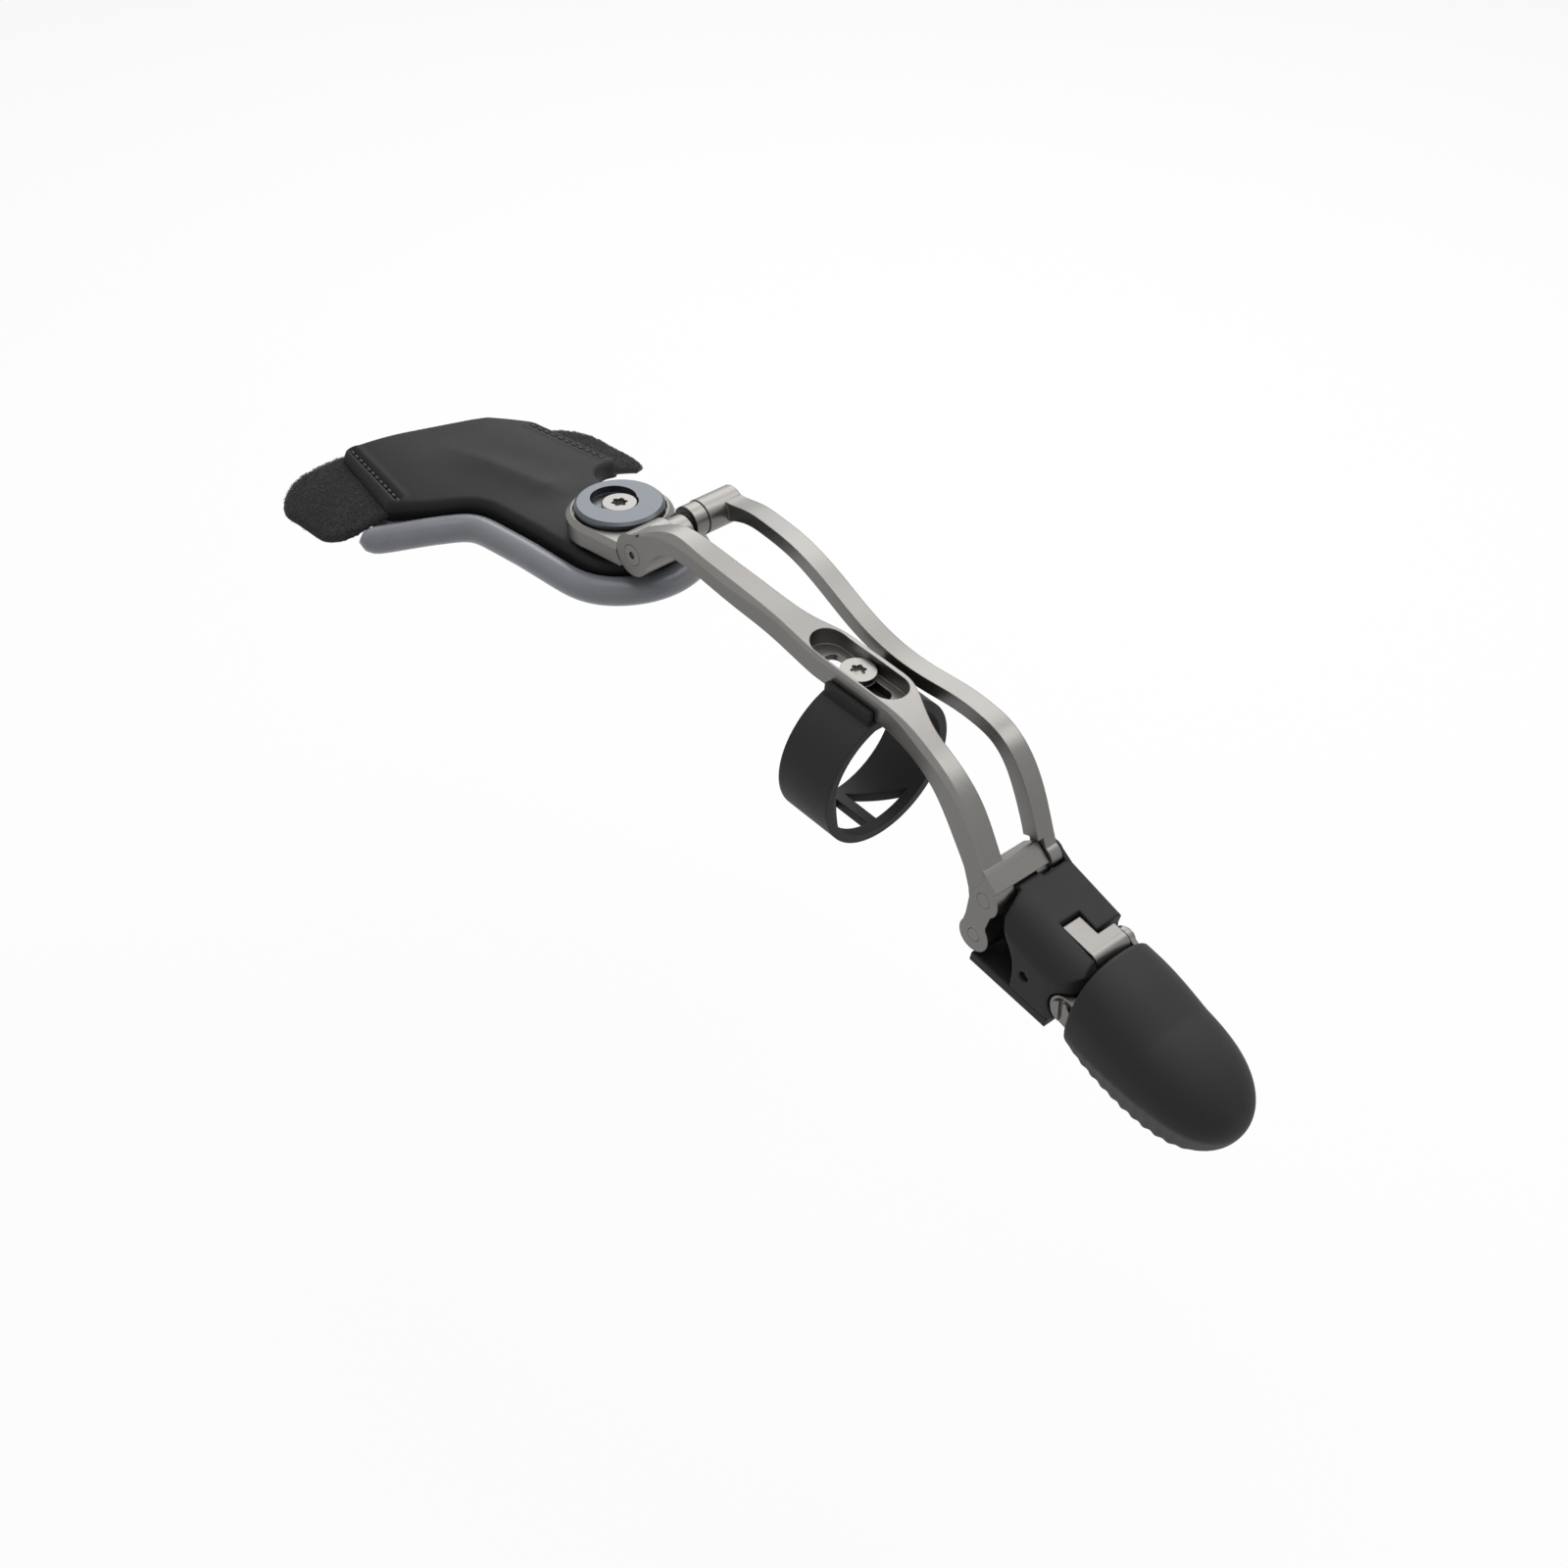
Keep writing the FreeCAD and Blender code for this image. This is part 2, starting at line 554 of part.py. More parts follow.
def far_arm():
    inner = [(x, y - FAR_W) for x, y in FAR_EDGE]
    arm = side_band(FAR_TOP, FAR_LOW, 0, 12).common(plan_band(FAR_EDGE, inner, -30, 30))
    arm = arm.cut(cyl_y(PIP, 4.4, 0, FAR_EYE_Y[0]))
    barrel = cyl_y(FAR_HINGE, FAR_BARREL_R, FAR_LUG[1] + SIDE_GAP, FAR_BARREL_Y)
    eye = cyl_y(FAR_EYE, FAR_EYE_R, *FAR_EYE_Y)
    arm = joined(arm, barrel, eye)
    arm = arm.cut(cyl_y(FAR_HINGE, DRIVE_PIN_R + FIT, 0, 20))
    return arm.cut(cyl_y(FAR_EYE, STUB_R + EYE_PLAY, 0, 20))


# Finger ring pieces, drawn along the rail

def ring_hub():
    return RAIL_FLOOR - 0.9 - 9.1


def ring_band():
    half = RING_W / 2
    near = SLOT_NEAR - SIDE_GAP
    far = SLOT_FAR + SIDE_GAP
    tube = Part.makeCylinder(RING_R + RING_WALL, RING_W, Vector(-half, 0, ring_hub()), Vector(1, 0, 0))
    saddle = box(-SADDLE_L / 2, near - LIP, -2.6, SADDLE_L / 2, far + LIP, 1.1)
    band = tube.fuse(saddle)
    bore = Part.makeCylinder(RING_R, RING_W + 8, Vector(-half - 4, 0, ring_hub()), Vector(1, 0, 0))
    bore = bore.cut(box(-SADDLE_L / 2, near, -1.9, SADDLE_L / 2, far, 3))
    band = band.cut(bore)
    band = band.cut(box(-20, near, -0.12, 20, far, 10))
    # two windows in the palm half, with a strut between them
    for side in (-1, 1):
        window = plan_prism([(-half + 1.3, side * 0.7), (half - 1.3, side * 0.7), (half - 1.3, side * 5.6)],
                            ring_hub() - 20, ring_hub() - 2)
        band = band.cut(window)
    band.translate(Vector(RING_AT + RING_SHIFT, 0, 0))
    band = band.cut(cyl_z(RING_AT, SLOT_Y, 1.6 + FIT, -5, 5))
    return rail_placed(band)


def ring_nut():
    nut = cyl_z(RING_AT, SLOT_Y, 1.95, -2.5, -1.92).fuse(cyl_z(RING_AT, SLOT_Y, 1.6, -2.5, -0.3))
    return rail_placed(nut.cut(cyl_z(RING_AT, SLOT_Y, RING_SCREW_R + FIT, -5, 5)))


def ring_washer():
    low = RAIL_FLOOR + 0.03
    washer = cyl_z(RING_AT, SLOT_Y, RING_WASHER_R, low, low + 0.35)
    return rail_placed(washer.cut(cyl_z(RING_AT, SLOT_Y, RING_SCREW_R + FIT, 0, 5)))


def ring_screw():
    low = RAIL_FLOOR + 0.4
    head = cyl_z(RING_AT, SLOT_Y, RING_HEAD_R, low, low + 0.75)
    screw = joined(head, cyl_z(RING_AT, SLOT_Y, RING_SCREW_R, -2.4, low + 0.2))
    return rail_placed(screw.cut(lobed_socket(RING_AT, SLOT_Y, 0.95, low + 0.3, 5)))


# Middle phalanx pieces

MID_END = [(77.6, -9.0), (78.3, -13.4), (78.85, -14.3), (79.0, -15.2), (78.7, -16.1), (78.0, -16.75),
           (76.8, -17.4), (76.8, -20.0)]
MID_FAR_END = (75.7, -12.6)     # the far half of the back ends here, round the barrel
MID_BACK = [(67.7, -9.4), (67.0, -10.0), (66.2, -12.2), (64.6, -12.9), (64.35, -15.0), (64.4, -18.2)]
RECESS = [(60.0, -7.0), (67.8, -7.0), (68.1, -9.6), (68.35, -11.2), (68.95, -13.4), (69.7, -14.7),
          (70.2, -15.9), (70.35, -17.4), (70.1, -19.9), (60.0, -17.6)]
MID_PLAN_FAR = [(64.0, 5.75), (66.5, 5.75), (68.5, 5.95), (71.0, 6.15), (74.0, MID_FAR), (80.0, MID_FAR)]
MID_PLAN_NEAR = [(64.0, MID_NEAR), (70.0, MID_NEAR), (75.0, MID_NEAR), (77.4, -4.6), (78.8, -3.3), (80.0, -1.6)]
SOLE_LINE = ((64.4, -18.5), (75.6, -21.1))


def sole_points(low, high):
    """Corners of a strip along the sole, between two offsets below its top line."""
    (x0, z0), (x1, z1) = SOLE_LINE
    length = math.hypot(x1 - x0, z1 - z0)
    nx = (z1 - z0) / length
    nz = -(x1 - x0) / length
    return [(x0 + nx * low, z0 + nz * low), (x1 + nx * low, z1 + nz * low),
            (x1 + nx * high, z1 + nz * high), (x0 + nx * high, z0 + nz * high)]


def crown():
    """The shell seen along the finger: flat back, large near rounding, small far one."""
    low = -22.0
    y0 = MID_NEAR
    y1 = MID_FAR
    r = CROWN_NEAR
    q = CROWN_FAR
    near_arc = Part.Arc(Vector(0, y0, -r), Vector(0, y0 + r * 0.2929, -r * 0.2929), Vector(0, y0 + r, 0))
    far_arc = Part.Arc(Vector(0, y1 - q, 0), Vector(0, y1 - q * 0.2929, -q * 0.2929), Vector(0, y1, -q))
    edges = [Part.makeLine(Vector(0, y0, low), Vector(0, y0, -r)), near_arc.toShape(),
             Part.makeLine(Vector(0, y0 + r, 0), Vector(0, y1 - q, 0)), far_arc.toShape(),
             Part.makeLine(Vector(0, y1, -q), Vector(0, y1, low)),
             Part.makeLine(Vector(0, y1, low), Vector(0, y0, low))]
    form = Part.Face(Part.Wire(edges)).extrude(Vector(24, 0, 0))
    form.translate(Vector(-6, 0, 0))
    form.rotate(Vector(0, 0, 0), Vector(0, 1, 0), MID_SLOPE)
    form.translate(Vector(MID_START[0], 0, MID_START[1]))
    return form


def link_slot():
    """Way for the tip link: open at the back from the link's upper end on, closed over its foot."""
    y0 = LINK_Y[0] - LINK_GAP
    y1 = LINK_Y[1] + LINK_GAP
    x = LINK_BACK[0] - LINK_GAP - 0.1
    way = side_prism([(60, -24), (60, -13.0), (66.4, -13.0), (x - 0.6, -13.0), (x, -12.6), (x, -5),
                      (84, -5), (84, -24)], y0, y1)
    # beyond the link the far half ends round the barrel
    end = side_prism([(MID_FAR_END[0], -5), (MID_FAR_END[0], MID_FAR_END[1]), (75.3, -14.0), (75.3, -16.9),
                      (84, -16.9), (84, -5)], y0, 9)
    return way.fuse(end)


def pin_way():
    """Slot that the foot pin of the tip link sweeps in the near wall."""
    reach = math.hypot(LINK_FOOT[0] - PIP[0], LINK_FOOT[1] - PIP[1])
    room = LINK_PIN_R + 0.2
    ring = cyl_y(PIP, reach + room, -2.2, -1.2).cut(cyl_y(PIP, reach - room, -3, 0))
    return ring.common(box(60, -3, -20, 69.4, 0, -10))


def middle_shell():
    (x0, z0), (x1, z1) = SOLE_LINE
    outline = MID_BACK[::-1] + [(67.75, -5.0)] + MID_END + [(x1, z1 + 0.03), (70.3, -19.83), (68.5, -16.9)]
    side = side_prism(outline, -8, 8)
    body = side.common(plan_band(MID_PLAN_FAR, MID_PLAN_NEAR, -40, 10)).common(crown())
    wall = side_prism([MID_BACK[-2], MID_BACK[-1], (70.5, -19.86), (70.5, -15.0)], LINK_Y[1] + LINK_GAP, 5.75)
    knuckle = cyl_y(PIP, KNUCKLE_MID_R, *KNUCKLE_MID_Y)
    web = side_prism([(65.6, -9.05), (66.5, -9.35), (67.8, -9.8), (67.8, -13.0), (65.6, -12.15)], *KNUCKLE_MID_Y)
    ears = cyl_y(DIP, DIP_EAR_R, -DIP_EAR_Y, DIP_EAR_Y)
    ears = ears.fuse(side_prism([(74.5, -16.5), (77.5, -16.96), (77.0, -20.2), (74.5, -20.6)], -DIP_EAR_Y, DIP_EAR_Y))
    body = joined(body, wall, knuckle, web, ears)
    # room for the swinging plate, the far eye and the bridge
    body = body.cut(side_prism(RECESS, -9, BONE_Y[1] + SIDE_GAP))
    body = body.cut(cyl_y(PIP, 2.85, EAR_Y - SIDE_GAP, STUB_LUG_Y[0]))
    body = body.cut(cyl_y(PIP, 2.4, STUB_LUG_Y[0] - 0.1, 9))
    body = body.cut(cyl_y(PIP, 2.85, -9, KNUCKLE_MID_Y[0]))
    body = body.cut(cyl_y(FAR_EYE, FAR_EYE_R + 0.3, EAR_Y, STUB_LUG_Y[0]))
    lug = cyl_y(FAR_EYE, STUB_LUG_R, *STUB_LUG_Y)
    arm = side_prism([(66.5, -7.85), (68.9, -9.75), (68.9, -13.0), (65.2, -10.1)], *STUB_LUG_Y)
    body = joined(body, lug, arm)
    body = body.cut(link_slot()).cut(pin_way())
    # room for the tip lugs at the hinge
    for y0, y1 in ((-9, -DIP_EAR_Y), (DIP_EAR_Y, 9)):
        body = body.cut(cyl_y(DIP, LUG_TIP_R + 0.25, y0, y1))
    body = body.cut(cyl_y(PIP, PIP_PIN_R + FIT, *KNUCKLE_MID_Y))
    body = body.cut(cyl_y(FAR_EYE, STUB_R + FIT, 5, 9))
    body = body.cut(cyl_y(DIP, DIP_PIN_R + FIT, -9, 9))
    return body.cut(cyl_y((72.0, -17.3), 0.65, -9, -3.2))


def palmar_plate():
    return side_prism(sole_points(0.03, SOLE_T), MID_NEAR, MID_FAR - 0.45)


def sole_screw():
    return cyl_y((72.0, -17.3), 0.6, -4.6, -3.25)


def drive_stub():
    return cyl_y(FAR_EYE, STUB_R, FAR_EYE_Y[0], STUB_LUG_Y[1])


def dip_pin():
    pin = cyl_y(DIP, DIP_PIN_R, -5.3, CORE_HALF).fuse(cyl_y(DIP, 1.35, -5.3, -4.6)).removeSplitter()
    return pin.cut(box(DIP[0] - 0.25, -6, DIP[1] - 2, DIP[0] + 0.25, -4.95, DIP[1] + 2))


# Tip link

def dip_link():
    x, z = LINK_BACK
    foot = cyl_y(LINK_FOOT, LINK_FOOT_R, *LINK_Y)
    bar = side_prism([(64.3, -14.45), (70.2, -13.5), (x - 0.4, -13.3), (x, -12.9), (x, z), (77.2, z - 1.11),
                      (77.2, -15.9), (75.0, -15.75), (70.0, -16.2), (65.0, -17.5)], *LINK_Y)
    cross = cyl_y(TIP_PIN, BARREL_R, LINK_Y[0], BARREL_Y)
    cross = cross.fuse(side_prism([(76.15, z - 0.8), (77.55, z - 1.2), (77.2, -15.5), (76.0, -15.2)],
                                  LINK_Y[0], BARREL_Y))
    link = joined(foot, bar, cross)
    link = link.cut(cyl_y(TIP_PIN, BARREL_PIN_R + LINK_PLAY, -9, 9))
    return link.cut(cyl_y(LINK_FOOT, LINK_PIN_R + FIT, -9, 9))


# Fingertip pieces

def tip_point(s, n, y=0.0):
    """Point s along the tip axis, n above it."""
    a = math.radians(TIP_PITCH)
    return Vector(TIP_START[0] + s * math.cos(a) + n * math.sin(a), y,
                  TIP_START[1] - s * math.sin(a) + n * math.cos(a))


def tip_section(s, half, up, down):
    points = []
    for i in range(16):
        a = 2 * math.pi * i / 16
        c = math.cos(a)
        v = math.sin(a)
        y = half * math.copysign(abs(c) ** 0.84, c)
        n = (up if v > 0 else down) * math.copysign(abs(v) ** 0.84, v)
        points.append(tip_point(s, n, y))
    spline = Part.BSplineCurve()
    spline.interpolate(points, PeriodicFlag=True)
    return Part.Wire([spline.toShape()])


TIP_SECTIONS = [(1.0, 6.3, 6.3, 4.9), (6.0, 6.8, 6.3, 5.9), (11.0, 6.8, 5.8, 6.6), (16.0, 6.3, 5.2, 6.9),
                (20.0, 5.2, 4.3, 6.3), (22.7, 3.6, 3.1, 5.0), (24.2, 1.6, 1.4, 2.8)]


def tip_core(grow=0.0):
    a = TIP_PITCH
    body = Part.makeBox(7.6 + 2 * grow, 2 * (CORE_HALF + grow), 6.4 + 2 * grow,
                        Vector(4.8 - grow, -CORE_HALF - grow, -3.1 - grow))
    body.rotate(Vector(0, 0, 0), Vector(0, 1, 0), a)
    body.translate(Vector(TIP_START[0], 0, TIP_START[1]))

    def lug(at, r, y0, y1, s, low, high):
        bar = cyl_y(at, r + grow, y0 - grow, y1 + grow)
        top = (at[0] + (r + grow) * 0.37, at[1] + (r + grow) * 0.93)
        base = (at[0] - (r + grow) * 0.37, at[1] - (r + grow) * 0.93)
        p = tip_point(s, high + grow)
        q = tip_point(s, low - grow)
        neck = side_prism([top, (p.x, p.z), (q.x, q.z), base], y0 - grow, y1 + grow)
        return bar.fuse(neck)

    core = joined(body,
                  lug(DIP, LUG_TIP_R, -CORE_HALF, -DIP_EAR_Y - SIDE_GAP, 5.0, -3.0, 0.6),
                  lug(DIP, LUG_TIP_R, DIP_EAR_Y + SIDE_GAP, CORE_HALF, 5.0, -3.0, 0.6),
                  lug(TIP_PIN, BARREL_R - 0.05, BARREL_Y + SIDE_GAP, 5.15, 5.2, 0.4, 2.6))
    if grow:
        return core
    core = core.cut(cyl_y(DIP, DIP_PIN_R + FIT, -9, 9)).cut(cyl_y(DIP, 1.35 + FIT, -9, -4.58))
    return core.cut(cyl_y(TIP_PIN, BARREL_PIN_R + FIT, -9, 9))


def tip_cover():
    body = Part.makeLoft([tip_section(*s) for s in TIP_SECTIONS], True, False)
    face = side_prism([(70, 0), (80.9, -9.0), (78.4, -25.0), (76.5, -34), (60, -34)], -12, 12)
    return body.cut(face).cut(tip_core(0.12))


def link_barrel_pin():
    pin = cyl_y(TIP_PIN, BARREL_PIN_R, LINK_Y[0] + 0.1, 5.3)
    return pin.fuse(cyl_y(TIP_PIN, 1.15, 5.18, 5.55)).removeSplitter()


PARTS = {
    "knuckle_pad": knuckle_pad,
    "base_plate": base_plate,
    "back_cover": back_cover,
    "near_strap": lambda: strap(NEAR_STRAP),
    "far_strap": lambda: strap(FAR_STRAP),
    "pivot_post": pivot_post,
    "post_rivets": post_rivets,
    "pivot_disc": pivot_disc,
    "pivot_screw": pivot_screw,
    "yoke": yoke,
    "yoke_bush": yoke_bush,
    "mcp_pin": mcp_pin,
    "drive_pin": drive_pin,
    "near_arm": near_arm,
    "pip_pin": pip_pin,
    "link_pin": link_pin,
    "far_arm": far_arm,
    "ring_band": ring_band,
    "ring_nut": ring_nut,
    "ring_washer": ring_washer,
    "ring_screw": ring_screw,
    "middle_shell": middle_shell,
    "palmar_plate": palmar_plate,
    "sole_screw": sole_screw,
    "drive_stub": drive_stub,
    "dip_pin": dip_pin,
    "dip_link": dip_link,
    "tip_core": tip_core,
    "tip_cover": tip_cover,
    "link_barrel_pin": link_barrel_pin,
}

for node, make in PARTS.items():
    shape = make()
    print(node, shape.isValid(), len(shape.Solids), round(shape.Volume, 1), shape.BoundBox)
    shape.exportStep("parts/" + node + ".step")
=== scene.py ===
import math

import bpy
import numpy as np
from bpy.props import FloatProperty, FloatVectorProperty, IntProperty, PointerProperty
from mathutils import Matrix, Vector


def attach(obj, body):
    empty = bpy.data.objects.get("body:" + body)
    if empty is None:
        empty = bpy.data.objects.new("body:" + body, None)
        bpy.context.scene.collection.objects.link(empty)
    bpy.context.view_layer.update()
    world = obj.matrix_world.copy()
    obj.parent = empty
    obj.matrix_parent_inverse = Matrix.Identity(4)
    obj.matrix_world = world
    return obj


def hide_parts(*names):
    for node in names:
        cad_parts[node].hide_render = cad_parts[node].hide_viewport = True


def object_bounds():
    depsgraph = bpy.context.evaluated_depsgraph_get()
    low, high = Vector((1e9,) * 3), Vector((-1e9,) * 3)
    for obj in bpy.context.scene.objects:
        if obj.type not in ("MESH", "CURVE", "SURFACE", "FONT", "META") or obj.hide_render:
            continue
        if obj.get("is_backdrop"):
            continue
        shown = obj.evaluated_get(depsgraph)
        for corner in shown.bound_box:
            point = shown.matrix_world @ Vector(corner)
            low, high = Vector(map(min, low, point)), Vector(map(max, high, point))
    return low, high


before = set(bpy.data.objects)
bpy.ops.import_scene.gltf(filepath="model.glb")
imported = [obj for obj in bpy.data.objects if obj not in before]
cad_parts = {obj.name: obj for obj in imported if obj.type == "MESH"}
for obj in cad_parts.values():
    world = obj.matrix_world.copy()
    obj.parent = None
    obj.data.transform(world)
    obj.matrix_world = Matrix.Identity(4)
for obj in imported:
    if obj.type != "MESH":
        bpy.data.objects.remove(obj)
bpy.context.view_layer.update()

bl_info = {
    "name": "Finger prosthesis looks",
    "version": (1, 0, 0),
    "blender": (4, 5, 0),
    "location": "3D View > Sidebar > Prosthesis",
    "description": "Dresses the finger prosthesis frame with skins, fabric, stitching and finishes",
    "category": "Object",
}

MM = 0.001

# The back of the hand that the plate is shaped to: a flat strip between two round flanks, in millimetres
HAND_R = 36.0
HAND_FLAT = 3.5

# Heights over the hand, in millimetres
PAD_T = 2.0
RIM_Z = 1.95
COVER_LOW = 2.3
COVER_IN = 3.72
COVER_TOP = 4.5
STRAP_LOW = 2.3
STRAP_TOP = 3.35

# Cover skin, in millimetres
FLANGE_HOLE = 5.5
COVER_PITCH = 0.24      # spacing of its grid
COVER_EDGE_R = 0.8
COVER_FOOT = 0.55       # width of the foot that stands on the plate
COVER_STEP = 0.3        # width of the step from the foot up to the inside
SPINE_WIDTH = 2.6
GROOVE_HALF = 0.32
BEAD_OUT = 0.75         # distance of the beads from their seam
BEAD_WIDTH = 0.35
BEAD_HEIGHT = 0.12

# Knuckle pad and its rolled rim, in millimetres
RIM_OUT = 2.0           # the rim runs this far outside the cover
RIM_END_NEAR = -29.0    # X where the rim ends on either side
RIM_END_FAR = -3.6
RIM_FAR_SIDE = 6.0      # Y from which the far end counts
RIM_ROUNDS = 16         # smoothing rounds along the rim
RIM_SIDES = 20
FLARE_START = -21.0     # the rim swings out towards the near strap from this X
FLARE_RUN = 8.0
FLARE_OUT = 2.2
PAD_PITCH = 0.9

# Strap tabs, in millimetres
STRAP_PITCH = 0.4
STRAP_EDGE_R = 0.5
STRAP_RIPPLE = 0.05
NAP_LOOP_R = 0.16
NAP_FIBRE_R = 0.018
NAP_SEED = 7

# Plan outlines as corners (x, y, radius) in millimetres
COVER = [(-42, -12, 1.5), (-27.5, -15.0, 1.5), (-22.6, -11.6, 20), (-18.6, -7.0, 7), (-8, -6.5, 6),
         (7.3, -6.5, 6.3), (7.3, 7.1, 6.3), (-8, 6.8, 6), (-15.8, 6.6, 4.2), (-15.1, 13.0, 1.5),
         (-31, 11.0, 1.5), (-35.2, 6.75, 2.2)]
NEAR_STRAP = [(-42.0, -11.0, 0.4), (-46.5, -21.6, 4.4), (-29.9, -21.6, 4.6), (-25.9, -10.8, 0.4)]
FAR_STRAP = [(-29.5, 8.0, 0.4), (-15.7, 9.6, 0.4), (-15.2, 17.8, 3.0), (-30.2, 18.0, 5.0)]
NEAR_SEAM = ((-40.6, -10.9), (-27.2, -13.3))
FAR_SEAM = ((-29.6, 9.7), (-17.2, 11.2))
PAD_INNER = [(-5.5, 6.4), (-16.6, 6.2), (-16.6, 11.0), (-30.2, 9.5), (-34.9, 4.0), (-40.6, -11.0),
             (-29.4, -14.2)]      # the pad's outline where it has no rim
SPINE = [(-33.0, -2.8), (-24.0, -1.4), (-17.0, -0.2), (-11.0, 1.0)]

# Share of the groove's depth that each seam has, and how deep its stitches sink in it
SEAMS = (("near_stitches", NEAR_SEAM, 1.0, 0.8), ("far_stitches", FAR_SEAM, 0.35, 0.2))
STITCH_LIFT = 0.12
STITCH_FILL = 0.72      # length of a stitch as a share of the pitch
THREAD_COLOR = (0.085, 0.085, 0.088)

# Fingertip axis: start (X, Z) and downward pitch, and the rim of the face that looks at the middle phalanx
TIP_START = (75.9, -16.65)
TIP_PITCH = math.radians(21.6)
TIP_FACE = ((80.9, -9.0), (78.4, -25.0))

# Sections along the axis: place, half width, height above and depth below the axis, in millimetres
TIP_SECTIONS = [(1.0, 6.3, 6.3, 4.9), (6.0, 6.8, 6.3, 5.9), (11.0, 6.8, 5.8, 6.6), (16.0, 6.3, 5.2, 6.9),
                (20.0, 5.2, 4.3, 6.3)]
TIP_LENGTH = 24.3
TIP_BACK = 1.0        # where the skin starts on the axis
TIP_ROUND = 12.0      # from here on the end of the tip closes as an oval
TIP_OVAL = 2.6
TIP_SQUARE = 0.84     # below 1 the sections are squarer than an ellipse
TIP_SIDES = 96
TIP_ROWS = 110
FACE_STEPS = (0.985, 0.95, 0.9, 0.5)

# The sole meets the side along a slanted flat that widens towards the end
SOLE_FACE = (math.cos(math.radians(24)), math.sin(math.radians(24)))      # outward and down
SOLE_POWER = 1.72     # sets how far the section reaches that way
SOLE_CUT = 0.75
SOLE_START = 5.0
SOLE_RUN = 12.0
RIBS_END = 22.5
RIBS_FADE = 2.0

# Studio, in metres: lamps with name, place, aim and size, and half the width of the floor
KEY_LAMP = ("key_light", (0.02, 0.05, 0.42), (0.03, 0, 0), 0.5)
BACK_LAMP = ("back_light", (-0.22, 0.27, 0.27), (0.03, 0, 0), 0.3)
TIP_LAMP = ("tip_light", (0.13, 0.26, 0.31), (0.07, 0, -0.01), 0.2)      # on the end of the finger
FLOOR_HALF = 1.2


# Settings a user may change

class HandPlateSettings(bpy.types.PropertyGroup):
    skin_color: FloatVectorProperty(name="Skin colour", description="Colour of the soft cover skin",
                                    subtype="COLOR", default=(0.014, 0.014, 0.0148), min=0, max=1)
    pad_color: FloatVectorProperty(name="Pad colour", description="Colour of the moulded silicone pad",
                                   subtype="COLOR", default=(0.185, 0.192, 0.212), min=0, max=1)
    strap_color: FloatVectorProperty(name="Strap colour", description="Colour of the looped strap fabric",
                                     subtype="COLOR", default=(0.020, 0.019, 0.0195), min=0, max=1)
    rim_radius: FloatProperty(name="Rim radius", description="Radius of the pad's rolled rim",
                              unit="LENGTH", default=1.75 * MM, min=0.5 * MM, max=2.2 * MM)
    spine_height: FloatProperty(name="Spine height", description="How far the raised crease stands up",
                                unit="LENGTH", default=0.75 * MM, min=0, max=1.5 * MM)
    groove_depth: FloatProperty(name="Groove depth", description="Depth of the sewn groove at the wings",
                                unit="LENGTH", default=0.55 * MM, min=0, max=0.7 * MM)
    stitch_pitch: FloatProperty(name="Stitch pitch", description="Distance from one stitch to the next",
                                unit="LENGTH", default=1.15 * MM, min=0.5 * MM, max=4 * MM)
    stitch_width: FloatProperty(name="Thread width", description="Thickness of the sewing thread",
                                unit="LENGTH", default=0.34 * MM, min=0.1 * MM, max=1 * MM)
    fuzz_count: IntProperty(name="Fibres", description="Loop fibres on one strap tab",
                            default=5000, min=0, max=8000)


class MetalSettings(bpy.types.PropertyGroup):
    metal_color: FloatVectorProperty(name="Metal colour", description="Colour of the machined arms and yoke",
                                     subtype="COLOR", default=(0.190, 0.184, 0.175), min=0, max=1)
    disc_color: FloatVectorProperty(name="Disc colour", description="Cooler colour of the swivel disc",
                                    subtype="COLOR", default=(0.085, 0.092, 0.103), min=0, max=1)
    roughness: FloatProperty(name="Roughness", description="Roughness of the blasted metal",
                             subtype="FACTOR", default=0.36, min=0.05, max=1)
    edge_round: FloatProperty(name="Edge rounding", description="Rounding that the edges show",
                              unit="LENGTH", default=0.18 * MM, min=0, max=0.5 * MM)


class FingertipSettings(bpy.types.PropertyGroup):
    shell_color: FloatVectorProperty(name="Shell colour", description="Colour of the moulded black shells",
                                     subtype="COLOR", default=(0.012, 0.0118, 0.0118), min=0, max=1)
    tip_color: FloatVectorProperty(name="Tip colour", description="Colour of the soft fingertip",
                                   subtype="COLOR", default=(0.012, 0.0118, 0.0118), min=0, max=1)
    rib_pitch: FloatProperty(name="Rib pitch", description="Spacing of the grip ribs under the tip",
                             unit="LENGTH", default=1.5 * MM, min=0.8 * MM, max=4 * MM)
    rib_height: FloatProperty(name="Rib height", description="Height of the grip ribs",
                              unit="LENGTH", default=0.2 * MM, min=0, max=0.6 * MM)


class StudioSettings(bpy.types.PropertyGroup):
    azimuth: FloatProperty(name="Azimuth", description="Camera turn round the part",
                           subtype="ANGLE", default=math.radians(47.0))
    elevation: FloatProperty(name="Elevation", description="Camera height angle",
                             subtype="ANGLE", default=math.radians(36.5))
    place: FloatVectorProperty(name="Camera place", description="Where the camera stands",
                               subtype="TRANSLATION", default=(0.20011, -0.15973, 0.15583))
    lens: FloatProperty(name="Lens", description="Focal length on a 36 mm sensor", default=56.25)
    floor_drop: FloatProperty(name="Floor drop", description="Gap between the lowest point and the floor",
                              unit="LENGTH", default=55.0 * MM)
    key_power: FloatProperty(name="Key light", description="Power of the large overhead light",
                             unit="POWER", default=1.2, min=0)
    back_power: FloatProperty(name="Back light", description="Power of the soft panel behind the part",
                              unit="POWER", default=0.72, min=0)
    tip_power: FloatProperty(name="Tip light", description="Power of the panel that the bent end mirrors",
                             unit="POWER", default=0.26, min=0)


# Shader expressions

